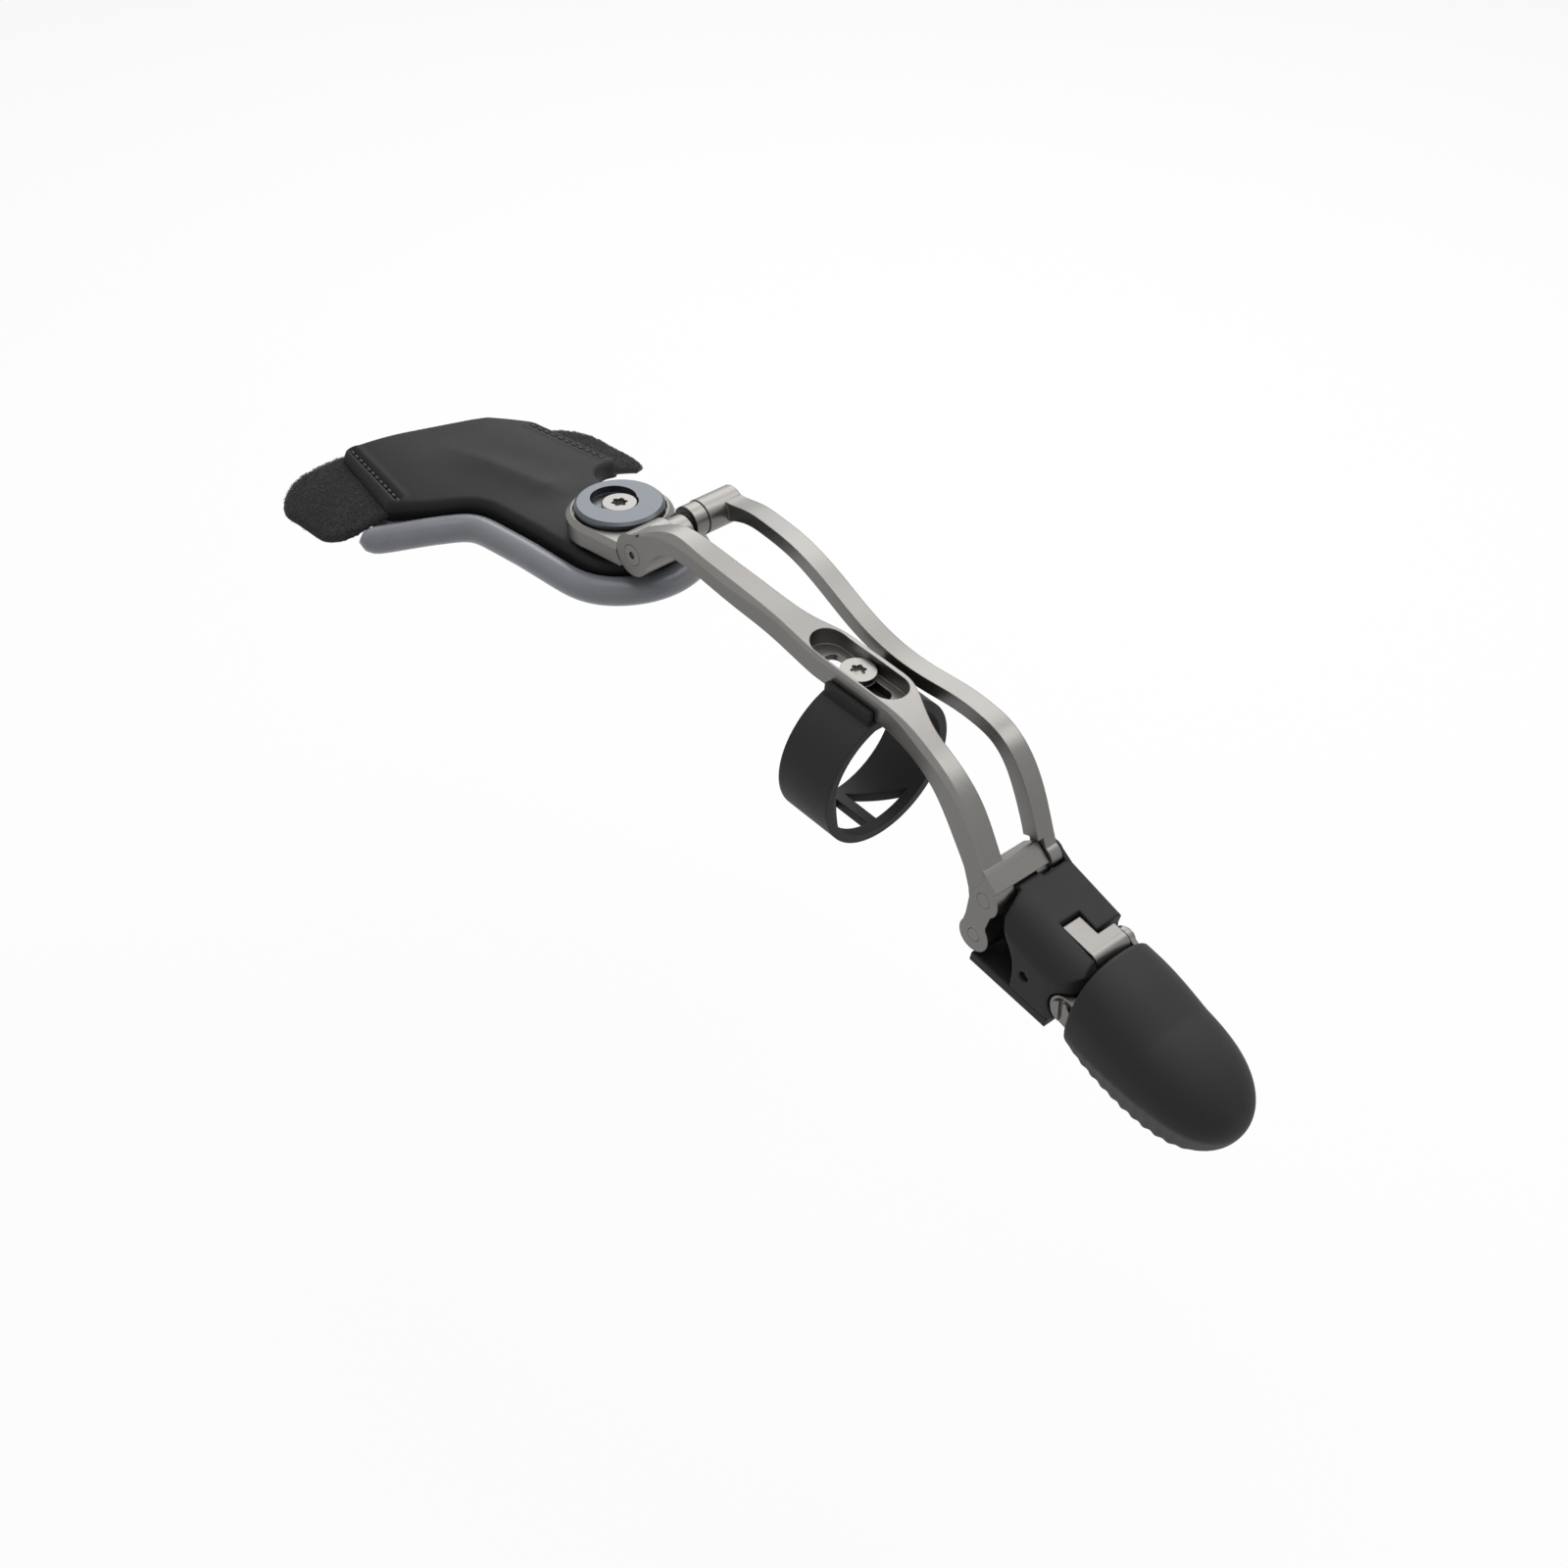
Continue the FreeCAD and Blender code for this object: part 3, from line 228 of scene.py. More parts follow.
class Signal:
    """A shader socket in an expression, so that 1 - wear * 0.5 adds its Math nodes."""

    def __init__(self, finish, socket):
        self.finish = finish
        self.socket = socket

    def _math(self, operation, a, b):
        return self.finish.node("ShaderNodeMath", {"operation": operation}, {0: a, 1: b})

    def __add__(self, other):
        return self._math("ADD", self, other)

    def __sub__(self, other):
        return self._math("SUBTRACT", self, other)

    def __rsub__(self, other):
        return self._math("SUBTRACT", other, self)

    def __mul__(self, other):
        return self._math("MULTIPLY", self, other)

    __radd__ = __add__
    __rmul__ = __mul__


class Finish:
    """A procedural material while it is being put together."""

    def __init__(self, name, metallic=0.0, **fixed):
        self.material = bpy.data.materials.new(name)
        self.material.use_nodes = True
        self.tree = self.material.node_tree
        self.surface = self.tree.nodes["Principled BSDF"]
        self.surface.inputs["Metallic"].default_value = metallic
        for socket, value in fixed.items():
            label = socket.replace("_", " ").title().replace("Ior", "IOR")
            self.surface.inputs[label].default_value = value
        self.place = self.node("ShaderNodeTexCoord", output="Object")

    def node(self, kind, settings=None, inputs=None, output=0):
        """Adds a node with its settings and inputs, and gives back one output as a signal."""
        node = self.tree.nodes.new(kind)
        for key, value in (settings or {}).items():
            if key == "stops":
                ramp = node.color_ramp
                for i, (at, grey) in enumerate(value):
                    stop = ramp.elements[i] if i < 2 else ramp.elements.new(at)
                    stop.position = at
                    stop.color = (grey, grey, grey, 1)
            else:
                setattr(node, key, value)
        for key, value in (inputs or {}).items():
            if isinstance(value, Signal):
                self.tree.links.new(value.socket, node.inputs[key])
            else:
                node.inputs[key].default_value = value
        return Signal(self, node.outputs[output])

    def noise(self, scale, detail=2.0, stretch=(1, 1, 1)):
        """Noise on object coordinates. Scale is in features per millimetre."""
        place = self.node("ShaderNodeMapping", None, {"Vector": self.place, "Scale": stretch})
        return self.node("ShaderNodeTexNoise", None,
                         {"Vector": place, "Scale": scale / MM, "Detail": detail})

    def ramp(self, value, *stops):
        return self.node("ShaderNodeValToRGB", {"stops": stops}, {0: value})

    def tint(self, color, mask, amount):
        """The colour, darker where the mask is low."""
        low = tuple(c * (1 - amount) for c in color) + (1,)
        high = tuple(min(1.0, c * (1 + amount)) for c in color) + (1,)
        mixed = self.node("ShaderNodeMix", {"data_type": "RGBA"}, {0: mask, 6: low, 7: high}, 2)
        self.wire("Base Color", mixed)
        return mixed

    def wire(self, socket, signal):
        self.tree.links.new(signal.socket, self.surface.inputs[socket])

    def bump(self, height, depth, strength=1.0, under=None):
        """Bump from a height signal, on top of another bump where one is given."""
        inputs = {"Height": height, "Distance": depth, "Strength": strength}
        if under:
            inputs["Normal"] = under
        bumped = self.node("ShaderNodeBump", None, inputs)
        self.wire("Normal", bumped)
        return bumped


def machined_metal(name, color, roughness, edge, along=(1, 1, 1)):
    """Satin metal with fine tool marks drawn out along one direction."""
    finish = Finish(name, metallic=1.0)
    grain = finish.noise(2.4, 3.0, along)
    cloud = finish.noise(0.12, 2.0)
    finish.tint(color, grain * 0.45 + cloud * 0.55, 0.10)
    finish.wire("Roughness", grain * 0.10 + (cloud * 0.08 + (roughness - 0.09)))
    rounded = finish.node("ShaderNodeBevel", {"samples": 4}, {"Radius": edge})
    finish.bump(grain, 0.004 * MM, 0.6, rounded)
    return finish.material


def turned_metal(name, color, roughness, edge):
    """Metal turned about the swivel axis: fine rings of tool marks."""
    finish = Finish(name, metallic=1.0)
    flat = finish.node("ShaderNodeVectorMath", {"operation": "MULTIPLY"}, {0: finish.place, 1: (1, 1, 0)})
    radius = finish.node("ShaderNodeVectorMath", {"operation": "LENGTH"}, {0: flat}, "Value")
    rings = finish.node("ShaderNodeTexNoise", {"noise_dimensions": "1D"},
                        {"W": radius, "Scale": 7 / MM, "Detail": 2})
    cloud = finish.noise(0.2)
    finish.tint(color, rings * 0.6 + cloud * 0.4, 0.12)
    finish.wire("Roughness", rings * 0.12 + (roughness - 0.06))
    rounded = finish.node("ShaderNodeBevel", {"samples": 4}, {"Radius": edge})
    finish.bump(rings, 0.004 * MM, 0.5, rounded)
    return finish.material


def moulded_plastic(name, color, edge):
    """Fine spark-eroded grain of a moulded shell."""
    finish = Finish(name, specular_ior_level=0.27)
    grain = finish.noise(5.5, 2.0)
    cloud = finish.noise(0.15, 3.0)
    finish.tint(color, grain * 0.4 + cloud * 0.6, 0.16)
    finish.wire("Roughness", cloud * 0.14 + (grain * 0.1 + 0.46))
    rounded = finish.node("ShaderNodeBevel", {"samples": 4}, {"Radius": edge})
    finish.bump(grain, 0.012 * MM, 0.8, rounded)
    return finish.material


def soft_skin(name, color):
    """Matte coated skin with leather-like pores."""
    finish = Finish(name, specular_ior_level=0.15)
    pores = finish.node("ShaderNodeTexVoronoi", {"feature": "DISTANCE_TO_EDGE"},
                        {"Vector": finish.place, "Scale": 2.1 / MM})
    grain = finish.noise(3.2, 3.0)
    cloud = finish.noise(0.1, 2.0)
    finish.tint(color, grain * 0.4 + cloud * 0.6, 0.18)
    finish.wire("Roughness", cloud * 0.16 + (grain * 0.1 + 0.46))
    finish.bump(pores * 0.6 + grain * 0.5, 0.03 * MM, 0.7)
    return finish.material


def silicone(name, color):
    """Satin moulded silicone with slight dust and flow marks."""
    finish = Finish(name, specular_ior_level=0.4)
    haze = finish.noise(0.3, 4.0)
    dust = finish.ramp(finish.noise(6.0, 2.0), (0.55, 0.0), (0.75, 1.0))
    finish.tint(color, haze * 0.8 + dust * 0.2, 0.12)
    finish.wire("Roughness", haze * 0.14 + 0.22)
    finish.bump(haze * 0.7 + dust * 0.3, 0.008 * MM, 0.3)
    return finish.material


def loop_fabric(name, color):
    """Napped hook-and-loop cloth: dark loops with paler ends."""
    finish = Finish(name, sheen_weight=0.25, specular_ior_level=0.15)
    loops = finish.noise(3.4, 4.0)
    tufts = finish.noise(0.9, 2.0)
    finish.tint(color, finish.ramp(loops * 0.7 + tufts * 0.3, (0.35, 0.0), (0.68, 1.0)), 0.45)
    finish.wire("Roughness", loops * 0.2 + 0.75)
    finish.bump(loops + tufts * 0.6, 0.16 * MM, 1.0)
    return finish.material


def nap_fibre(name, color):
    """Dark filament, paler where it catches the light."""
    finish = Finish(name, specular_ior_level=0.35)
    tufts = finish.noise(1.6, 2.0)
    finish.tint(color, tufts, 0.5)
    finish.wire("Roughness", tufts * 0.2 + 0.45)
    return finish.material


def sewing_thread(name, color):
    """Twisted sewing thread."""
    finish = Finish(name, specular_ior_level=0.3)
    twist = finish.node("ShaderNodeTexWave", {"bands_direction": "DIAGONAL"},
                        {"Vector": finish.place, "Scale": 1.6 / MM, "Distortion": 0.4})
    twist = Signal(finish, twist.socket.node.outputs["Fac"])
    finish.tint(color, twist, 0.35)
    finish.wire("Roughness", twist * 0.15 + 0.6)
    finish.bump(twist, 0.05 * MM, 0.8)
    return finish.material


# Plan outlines and snapped grids

def rounded_loop(corners, step=0.35):
    """Dense closed outline from corners (x, y, radius), in millimetres."""
    points = []
    count = len(corners)
    for i, (x, y, r) in enumerate(corners):
        here = np.array((x, y), float)
        before = np.array(corners[i - 1][:2], float) - here
        after = np.array(corners[(i + 1) % count][:2], float) - here
        before /= np.linalg.norm(before)
        after /= np.linalg.norm(after)
        half = math.acos(np.clip(before @ after, -1, 1)) / 2
        middle = (before + after) / np.linalg.norm(before + after)
        hub = here + middle * (r / math.sin(half))
        start = here + before * (r / math.tan(half)) - hub
        end = here + after * (r / math.tan(half)) - hub
        turn = math.atan2(start[0] * end[1] - start[1] * end[0], start @ end)
        steps = max(3, int(abs(turn) * r / step))
        for k in range(steps + 1):
            a = turn * k / steps
            c, s = math.cos(a), math.sin(a)
            points.append(hub + np.array((start[0] * c - start[1] * s, start[0] * s + start[1] * c)))
    dense = []
    for a, b in zip(points, points[1:] + points[:1]):
        parts = max(1, int(np.linalg.norm(b - a) / step))
        dense += [a + (b - a) * k / parts for k in range(parts)]
    return np.array(dense)


def depth_inside(points, loop):
    """Distance from the outline, positive inside it, and the nearest outline point."""
    best = np.full(len(points), 1e9)
    near = np.zeros((len(points), 2))
    inside = np.zeros(len(points), bool)
    for p, q in zip(loop, np.roll(loop, -1, axis=0)):
        edge = q - p
        t = np.clip(((points - p) @ edge) / max(edge @ edge, 1e-12), 0, 1)
        foot = p + t[:, None] * edge
        gap = np.linalg.norm(points - foot, axis=1)
        closer = gap < best
        best[closer] = gap[closer]
        near[closer] = foot[closer]
        crosses = (p[1] > points[:, 1]) != (q[1] > points[:, 1])
        if edge[1]:
            at = p[0] + (points[:, 1] - p[1]) * edge[0] / edge[1]
            inside ^= crosses & (points[:, 0] < at)
    return np.where(inside, best, -best), near


def line_distance(points, line):
    """Distance to an open polyline and the share of the way along it."""
    best = np.full(len(points), 1e9)
    share = np.zeros(len(points))
    spans = len(line) - 1
    for i in range(spans):
        p, q = np.array(line[i], float), np.array(line[i + 1], float)
        t = np.clip(((points - p) @ (q - p)) / ((q - p) @ (q - p)), 0, 1)
        gap = np.linalg.norm(points - (p + t[:, None] * (q - p)), axis=1)
        closer = gap < best
        best[closer] = gap[closer]
        share[closer] = (i + t[closer]) / spans
    return best, share


def snapped_grid(loop, pitch, hole=0.0):
    """Square grid inside the outline, its edge points moved onto the outline."""
    low = loop.min(0) - pitch
    high = loop.max(0) + pitch
    nx = int((high[0] - low[0]) / pitch) + 2
    ny = int((high[1] - low[1]) / pitch) + 2
    xs = low[0] + pitch * np.arange(nx)
    ys = low[1] + pitch * np.arange(ny)
    points = np.array([(x, y) for y in ys for x in xs])
    depth, near = depth_inside(points, loop)
    if hole:
        r = np.linalg.norm(points, axis=1)
        closer = (r - hole) < depth
        rim = points / np.maximum(r, 1e-6)[:, None] * hole
        near[closer] = rim[closer]
        depth = np.minimum(depth, r - hole)
    # points nearer to the outline than this would leave slivers when the edge is snapped
    keep = depth > pitch * 0.3
    quads = []
    for j in range(ny - 1):
        for i in range(nx - 1):
            ids = (j * nx + i, j * nx + i + 1, (j + 1) * nx + i + 1, (j + 1) * nx + i)
            if all(keep[k] for k in ids):
                quads.append(ids)
    quads = np.array(quads)
    edges = {}
    for quad in quads:
        for k in range(4):
            edges[(quad[k], quad[(k + 1) % 4])] = True
    border = [(a, b) for a, b in edges if (b, a) not in edges]
    rim_ids = sorted({a for a, _ in border})
    points[rim_ids] = near[rim_ids]
    used = np.unique(quads)
    renumber = np.full(len(points), -1)
    renumber[used] = np.arange(len(used))
    points = points[used]
    quads = renumber[quads]
    border = [(renumber[a], renumber[b]) for a, b in border]
    return points, quads, border


def eased(points, quads, border, rounds=3):
    """Evens out the grid beside its snapped edge, keeping the edge."""
    fixed = np.zeros(len(points), bool)
    fixed[[a for a, _ in border]] = True
    total = np.zeros_like(points)
    for _ in range(rounds):
        total[:] = 0
        count = np.zeros(len(points))
        for k in range(4):
            np.add.at(total, quads[:, k], points[quads[:, (k + 1) % 4]] + points[quads[:, k - 1]])
            np.add.at(count, quads[:, k], 2)
        moved = total / count[:, None]
        points = np.where(fixed[:, None], points, moved)
    return points


def hand_height(y):
    """Height of the back of the hand at Y, at most zero."""
    out = np.maximum(np.abs(y) - HAND_FLAT, 0.0)
    return np.sqrt(HAND_R ** 2 - out ** 2) - HAND_R


def new_piece(name, verts, faces, material, smooth=True):
    """Mesh piece from millimetre vertices."""
    mesh = bpy.data.meshes.new(name)
    mesh.from_pydata((np.asarray(verts, float) * MM).tolist(), [], [list(map(int, f)) for f in faces])
    mesh.validate()
    mesh.update()
    for face in mesh.polygons:
        face.use_smooth = smooth
    piece = bpy.data.objects.new(name, mesh)
    bpy.context.collection.objects.link(piece)
    mesh.materials.append(material)
    return piece


def closed_sheet(name, points, quads, border, top, bottom, material):
    """Closed piece between two height fields over the same grid."""
    count = len(points)
    upper = np.column_stack([points, top])
    lower = np.column_stack([points, bottom])
    faces = [tuple(q) for q in quads] + [tuple(q[::-1] + count) for q in quads]
    faces += [(b, a, a + count, b + count) for a, b in border]
    return new_piece(name, np.vstack([upper, lower]), faces, material)


def fillet_drop(depth, r):
    """How far a rounded edge of radius r falls at this distance from the edge."""
    inside = np.clip(r - depth, 0, r)
    return r - np.sqrt(np.maximum(r * r - inside * inside, 0))


def dress(material, *nodes):
    """Gives the frame's own pieces a material."""
    for node in nodes:
        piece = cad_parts[node]
        piece.data.materials.clear()
        piece.data.materials.append(material)


def cover_top(points, depth, settings):
    """Height of the cover's skin, with its spine, wing grooves and rolled edges."""
    z = hand_height(points[:, 1]) + COVER_TOP
    gap, share = line_distance(points, SPINE)
    # the spine rises over the first third of its length and falls over the last fifth
    fade = np.clip(np.minimum(share * 3.0, (1 - share) * 5.0), 0, 1)
    z += settings.spine_height / MM * np.exp(-(gap / SPINE_WIDTH) ** 1.6) * fade
    for _, seam, share, _ in SEAMS:
        gap, _ = line_distance(points, seam)
        z -= settings.groove_depth / MM * np.exp(-(gap / GROOVE_HALF) ** 4) * share
        z += BEAD_HEIGHT * np.exp(-((gap - BEAD_OUT) / BEAD_WIDTH) ** 2)
    return z - fillet_drop(depth, COVER_EDGE_R)


class PROSTHESIS_OT_metalwork(bpy.types.Operator):
    """Give the arms, yoke, pins and screws their metal finishes"""
    bl_idname = "prosthesis.metalwork"
    bl_label = "Metalwork"

    def execute(self, context):
        look = context.scene.metal_look
        color = tuple(look.metal_color)
        arms = machined_metal("blasted_steel", color, look.roughness, look.edge_round, (0.12, 1, 1))
        dress(arms, "near_arm", "far_arm", "yoke", "dip_link", "tip_core")
        disc = turned_metal("turned_disc", tuple(look.disc_color), look.roughness - 0.04,
                            look.edge_round * 0.6)
        dress(disc, "pivot_disc", "pivot_post", "yoke_bush")
        pins = machined_metal("turned_pins", color, look.roughness - 0.05, look.edge_round * 0.5)
        dress(pins, "pivot_screw", "post_rivets", "mcp_pin", "drive_pin", "pip_pin", "link_pin", "ring_nut",
              "ring_washer", "ring_screw", "sole_screw", "drive_stub", "dip_pin", "link_barrel_pin")
        return {"FINISHED"}


class PROSTHESIS_OT_moulded_shells(bpy.types.Operator):
    """Give the moulded black shells their grain"""
    bl_idname = "prosthesis.moulded_shells"
    bl_label = "Moulded shells"

    def execute(self, context):
        color = tuple(context.scene.tip_look.shell_color)
        dress(moulded_plastic("black_shell", color, 0.5 * MM), "middle_shell", "palmar_plate", "base_plate")
        dress(moulded_plastic("ring_plastic", color, 0.25 * MM), "ring_band")
        return {"FINISHED"}


class PROSTHESIS_OT_back_cover(bpy.types.Operator):
    """Shape the soft cover over the hand plate"""
    bl_idname = "prosthesis.back_cover"
    bl_label = "Back cover"

    def execute(self, context):
        settings = context.scene.hand_look
        loop = rounded_loop(COVER)
        points, quads, border = snapped_grid(loop, COVER_PITCH, FLANGE_HOLE)
        points = eased(points, quads, border)
        depth, _ = depth_inside(points, loop)
        top = cover_top(points, depth, settings)
        inner = np.clip((depth - COVER_FOOT) / COVER_STEP, 0, 1)
        bottom = hand_height(points[:, 1]) + COVER_LOW + (COVER_IN - COVER_LOW) * inner
        cover = closed_sheet("cover_skin", points, quads, border, top, bottom,
                             soft_skin("soft_cover_skin", tuple(settings.skin_color)))
        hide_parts("back_cover")
        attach(cover, "backplate")
        return {"FINISHED"}


def rim_path():
    """Plan path of the pad's rim, outside the cover from the near strap round to the far side."""
    loop = rounded_loop(COVER, 0.5)
    tangent = np.roll(loop, -1, axis=0) - np.roll(loop, 1, axis=0)
    outward = np.column_stack([tangent[:, 1], -tangent[:, 0]])
    outward /= np.linalg.norm(outward, axis=1)[:, None]
    offset = loop + outward * RIM_OUT
    past_far = (offset[:, 0] < RIM_END_FAR) & (offset[:, 1] > RIM_FAR_SIDE)
    on_rim = ~((offset[:, 0] < RIM_END_NEAR) | past_far)
    start = next(i for i in range(len(offset)) if on_rim[i] and not on_rim[i - 1])
    path = []
    for k in range(len(offset)):
        i = (start + k) % len(offset)
        if not on_rim[i]:
            break
        path.append(offset[i])
    path = np.array(path)
    for _ in range(RIM_ROUNDS):
        path[1:-1] = (path[:-2] + path[1:-1] * 2 + path[2:]) / 4
    flare = np.clip((FLARE_START - path[:, 0]) / FLARE_RUN, 0, 1) * (path[:, 1] < 0)
    path[:, 1] -= FLARE_OUT * flare ** 1.5
    return path


class PROSTHESIS_OT_knuckle_pad(bpy.types.Operator):
    """Shape the silicone pad with its rolled rim"""
    bl_idname = "prosthesis.knuckle_pad"
    bl_label = "Knuckle pad"

    def execute(self, context):
        settings = context.scene.hand_look
        path = rim_path()
        verts, faces = tube_on_hand(path, settings.rim_radius / MM, RIM_Z, RIM_SIDES)
        points, quads, border = snapped_grid(np.vstack([path, PAD_INNER]), PAD_PITCH)
        count = len(verts)
        z = hand_height(points[:, 1])
        verts = np.vstack([verts, np.column_stack([points, z + PAD_T]), np.column_stack([points, z])])
        n = len(points)
        faces += [tuple(q + count) for q in quads] + [tuple(q[::-1] + count + n) for q in quads]
        faces += [(b + count, a + count, a + count + n, b + count + n) for a, b in border]
        pad = new_piece("knuckle_pad_skin", verts, faces,
                        silicone("pad_silicone", tuple(settings.pad_color)))
        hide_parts("knuckle_pad")
        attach(pad, "backplate")
        return {"FINISHED"}


def tube_on_hand(path, radius, height, sides):
    """Closed tube along a plan path laid over the hand, tapering at its ends."""
    centre = np.column_stack([path, hand_height(path[:, 1]) + height])
    verts = []
    count = len(centre)
    for i, c in enumerate(centre):
        along = centre[min(i + 1, count - 1)] - centre[max(i - 1, 0)]
        along /= np.linalg.norm(along)
        side = np.cross(along, (0, 0, 1.0))
        side /= np.linalg.norm(side)
        up = np.cross(side, along)
        reach = min(i, count - 1 - i) / 3.0
        r = radius * math.sqrt(max(0.02, 1 - max(0.0, 1 - reach) ** 2))
        for k in range(sides):
            a = 2 * math.pi * k / sides
            verts.append(c + side * (r * math.cos(a)) + up * (r * math.sin(a)))
    faces = []
    for i in range(count - 1):
        for k in range(sides):
            n = (k + 1) % sides
            faces.append((i * sides + k, i * sides + n, (i + 1) * sides + n, (i + 1) * sides + k))
    faces.append(tuple(range(sides))[::-1])
    faces.append(tuple((count - 1) * sides + k for k in range(sides)))
    return np.array(verts), faces


def nap_tree():
    """Node tree that grows curled loop fibres on the upward faces of a cloth."""
    tree = bpy.data.node_groups.new("strap_nap", "GeometryNodeTree")
    face = tree.interface
    face.new_socket("Geometry", in_out="INPUT", socket_type="NodeSocketGeometry")
    face.new_socket("Geometry", in_out="OUTPUT", socket_type="NodeSocketGeometry")
    for name in ("Density", "Loop radius", "Fibre radius"):
        face.new_socket(name, in_out="INPUT", socket_type="NodeSocketFloat")
    face.new_socket("Seed", in_out="INPUT", socket_type="NodeSocketInt")
    face.new_socket("Fibre", in_out="INPUT", socket_type="NodeSocketMaterial")
    link = tree.links.new
    source = tree.nodes.new("NodeGroupInput")

    def add(kind, settings=None, **inputs):
        """Adds a node with its settings and inputs."""
        node = tree.nodes.new(kind)
        for key, value in (settings or {}).items():
            setattr(node, key, value)
        for key, value in inputs.items():
            socket = node.inputs[key.replace("_", " ")]
            if isinstance(value, bpy.types.NodeSocket):
                link(value, socket)
            else:
                socket.default_value = value
        return node

    normal = add("GeometryNodeInputNormal")
    height = add("ShaderNodeSeparateXYZ", Vector=normal.outputs["Normal"])
    upward = add("FunctionNodeCompare", {"operation": "GREATER_THAN"}, A=height.outputs["Z"], B=0.2)
    roots = add("GeometryNodeDistributePointsOnFaces", Mesh=source.outputs["Geometry"],
                Selection=upward.outputs["Result"], Density=source.outputs["Density"],
                Seed=source.outputs["Seed"])
    arc = add("GeometryNodeCurveArc", Resolution=6, Radius=source.outputs["Loop radius"],
              Sweep_Angle=math.radians(205))
    section = add("GeometryNodeCurvePrimitiveCircle", Resolution=3, Radius=source.outputs["Fibre radius"])
    fibre = add("GeometryNodeCurveToMesh", Curve=arc.outputs["Curve"],
                Profile_Curve=section.outputs["Curve"], Fill_Caps=True)
    upright = add("GeometryNodeTransform", Geometry=fibre.outputs["Mesh"], Rotation=(math.pi / 2, 0, 0))
    lean = add("FunctionNodeRandomValue", {"data_type": "FLOAT_VECTOR"}, Min=(-0.9, -0.9, 0.0),
               Max=(0.9, 0.9, 6.28), Seed=source.outputs["Seed"])
    turned = add("FunctionNodeRotateRotation", {"rotation_space": "LOCAL"},
                 Rotation=roots.outputs["Rotation"], Rotate_By=lean.outputs["Value"])
    size = add("FunctionNodeRandomValue", {"data_type": "FLOAT_VECTOR"}, Min=(0.5, 1.0, 0.5),
               Max=(1.5, 1.0, 1.5), Seed=source.outputs["Seed"])
    nap = add("GeometryNodeInstanceOnPoints", Points=roots.outputs["Points"],
              Instance=upright.outputs["Geometry"], Rotation=turned.outputs["Rotation"],
              Scale=size.outputs["Value"])
    real = add("GeometryNodeRealizeInstances", Geometry=nap.outputs["Instances"])
    paint = add("GeometryNodeSetMaterial", Geometry=real.outputs["Geometry"],
                Material=source.outputs["Fibre"])
    out = add("NodeGroupOutput")
    link(paint.outputs["Geometry"], out.inputs["Geometry"])
    return tree


class PROSTHESIS_OT_strap_tabs(bpy.types.Operator):
    """Lay out the two looped strap tabs with their nap"""
    bl_idname = "prosthesis.strap_tabs"
    bl_label = "Strap tabs"

    def execute(self, context):
        settings = context.scene.hand_look
        cloth = loop_fabric("strap_fabric", tuple(settings.strap_color))
        fibre = nap_fibre("nap_fibre", tuple(c * 2.2 for c in settings.strap_color))
        tree = nap_tree()
        for name, outline in (("near_strap", NEAR_STRAP), ("far_strap", FAR_STRAP)):
            loop = rounded_loop(outline)
            points, quads, border = snapped_grid(loop, STRAP_PITCH)
            points = eased(points, quads, border)
            depth, _ = depth_inside(points, loop)
            ripple = STRAP_RIPPLE * np.sin(points[:, 0] * 0.9 + points[:, 1] * 0.4)
            z = hand_height(points[:, 1]) + ripple
            drop = fillet_drop(depth, STRAP_EDGE_R)
            tab = closed_sheet(name + "_cloth", points, quads, border,
                               z + STRAP_TOP - drop, z + STRAP_LOW + drop, cloth)
            span = (loop.max(0) - loop.min(0)) * MM
            host = tab.copy()
            bpy.context.collection.objects.link(host)
            nap = grown(name + "_nap", host, tree, {
                "Density": settings.fuzz_count / float(span[0] * span[1]), "Loop radius": NAP_LOOP_R * MM,
                "Fibre radius": NAP_FIBRE_R * MM, "Seed": NAP_SEED, "Fibre": fibre})
            for face in nap.data.polygons:
                face.use_smooth = True
            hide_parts(name)
            for piece in (tab, nap):
                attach(piece, "backplate")
        return {"FINISHED"}


def tip_point(s, n, y):
    """Place of a point s along the fingertip's axis, n above it and y beside it."""
    c, v = math.cos(TIP_PITCH), math.sin(TIP_PITCH)
    return (TIP_START[0] + s * c + n * v, y, TIP_START[1] - s * v + n * c)


def tip_shape(s):
    """Half width, height above and depth below the tip axis at s."""
    table = np.array(TIP_SECTIONS)
    return [float(smooth_through(s, table[:, 0], table[:, k])) for k in (1, 2, 3)]


def smooth_through(x, xs, ys):
    """Cubic curve through the knots, with slopes from the neighbouring knots."""
    slopes = np.gradient(ys, xs)
    i = int(np.clip(np.searchsorted(xs, x) - 1, 0, len(xs) - 2))
    h = xs[i + 1] - xs[i]
    t = np.clip((x - xs[i]) / h, 0, 1)
    return ((2 * t ** 3 - 3 * t ** 2 + 1) * ys[i] + (t ** 3 - 2 * t ** 2 + t) * h * slopes[i]
            + (3 * t ** 2 - 2 * t ** 3) * ys[i + 1] + (t ** 3 - t ** 2) * h * slopes[i + 1])


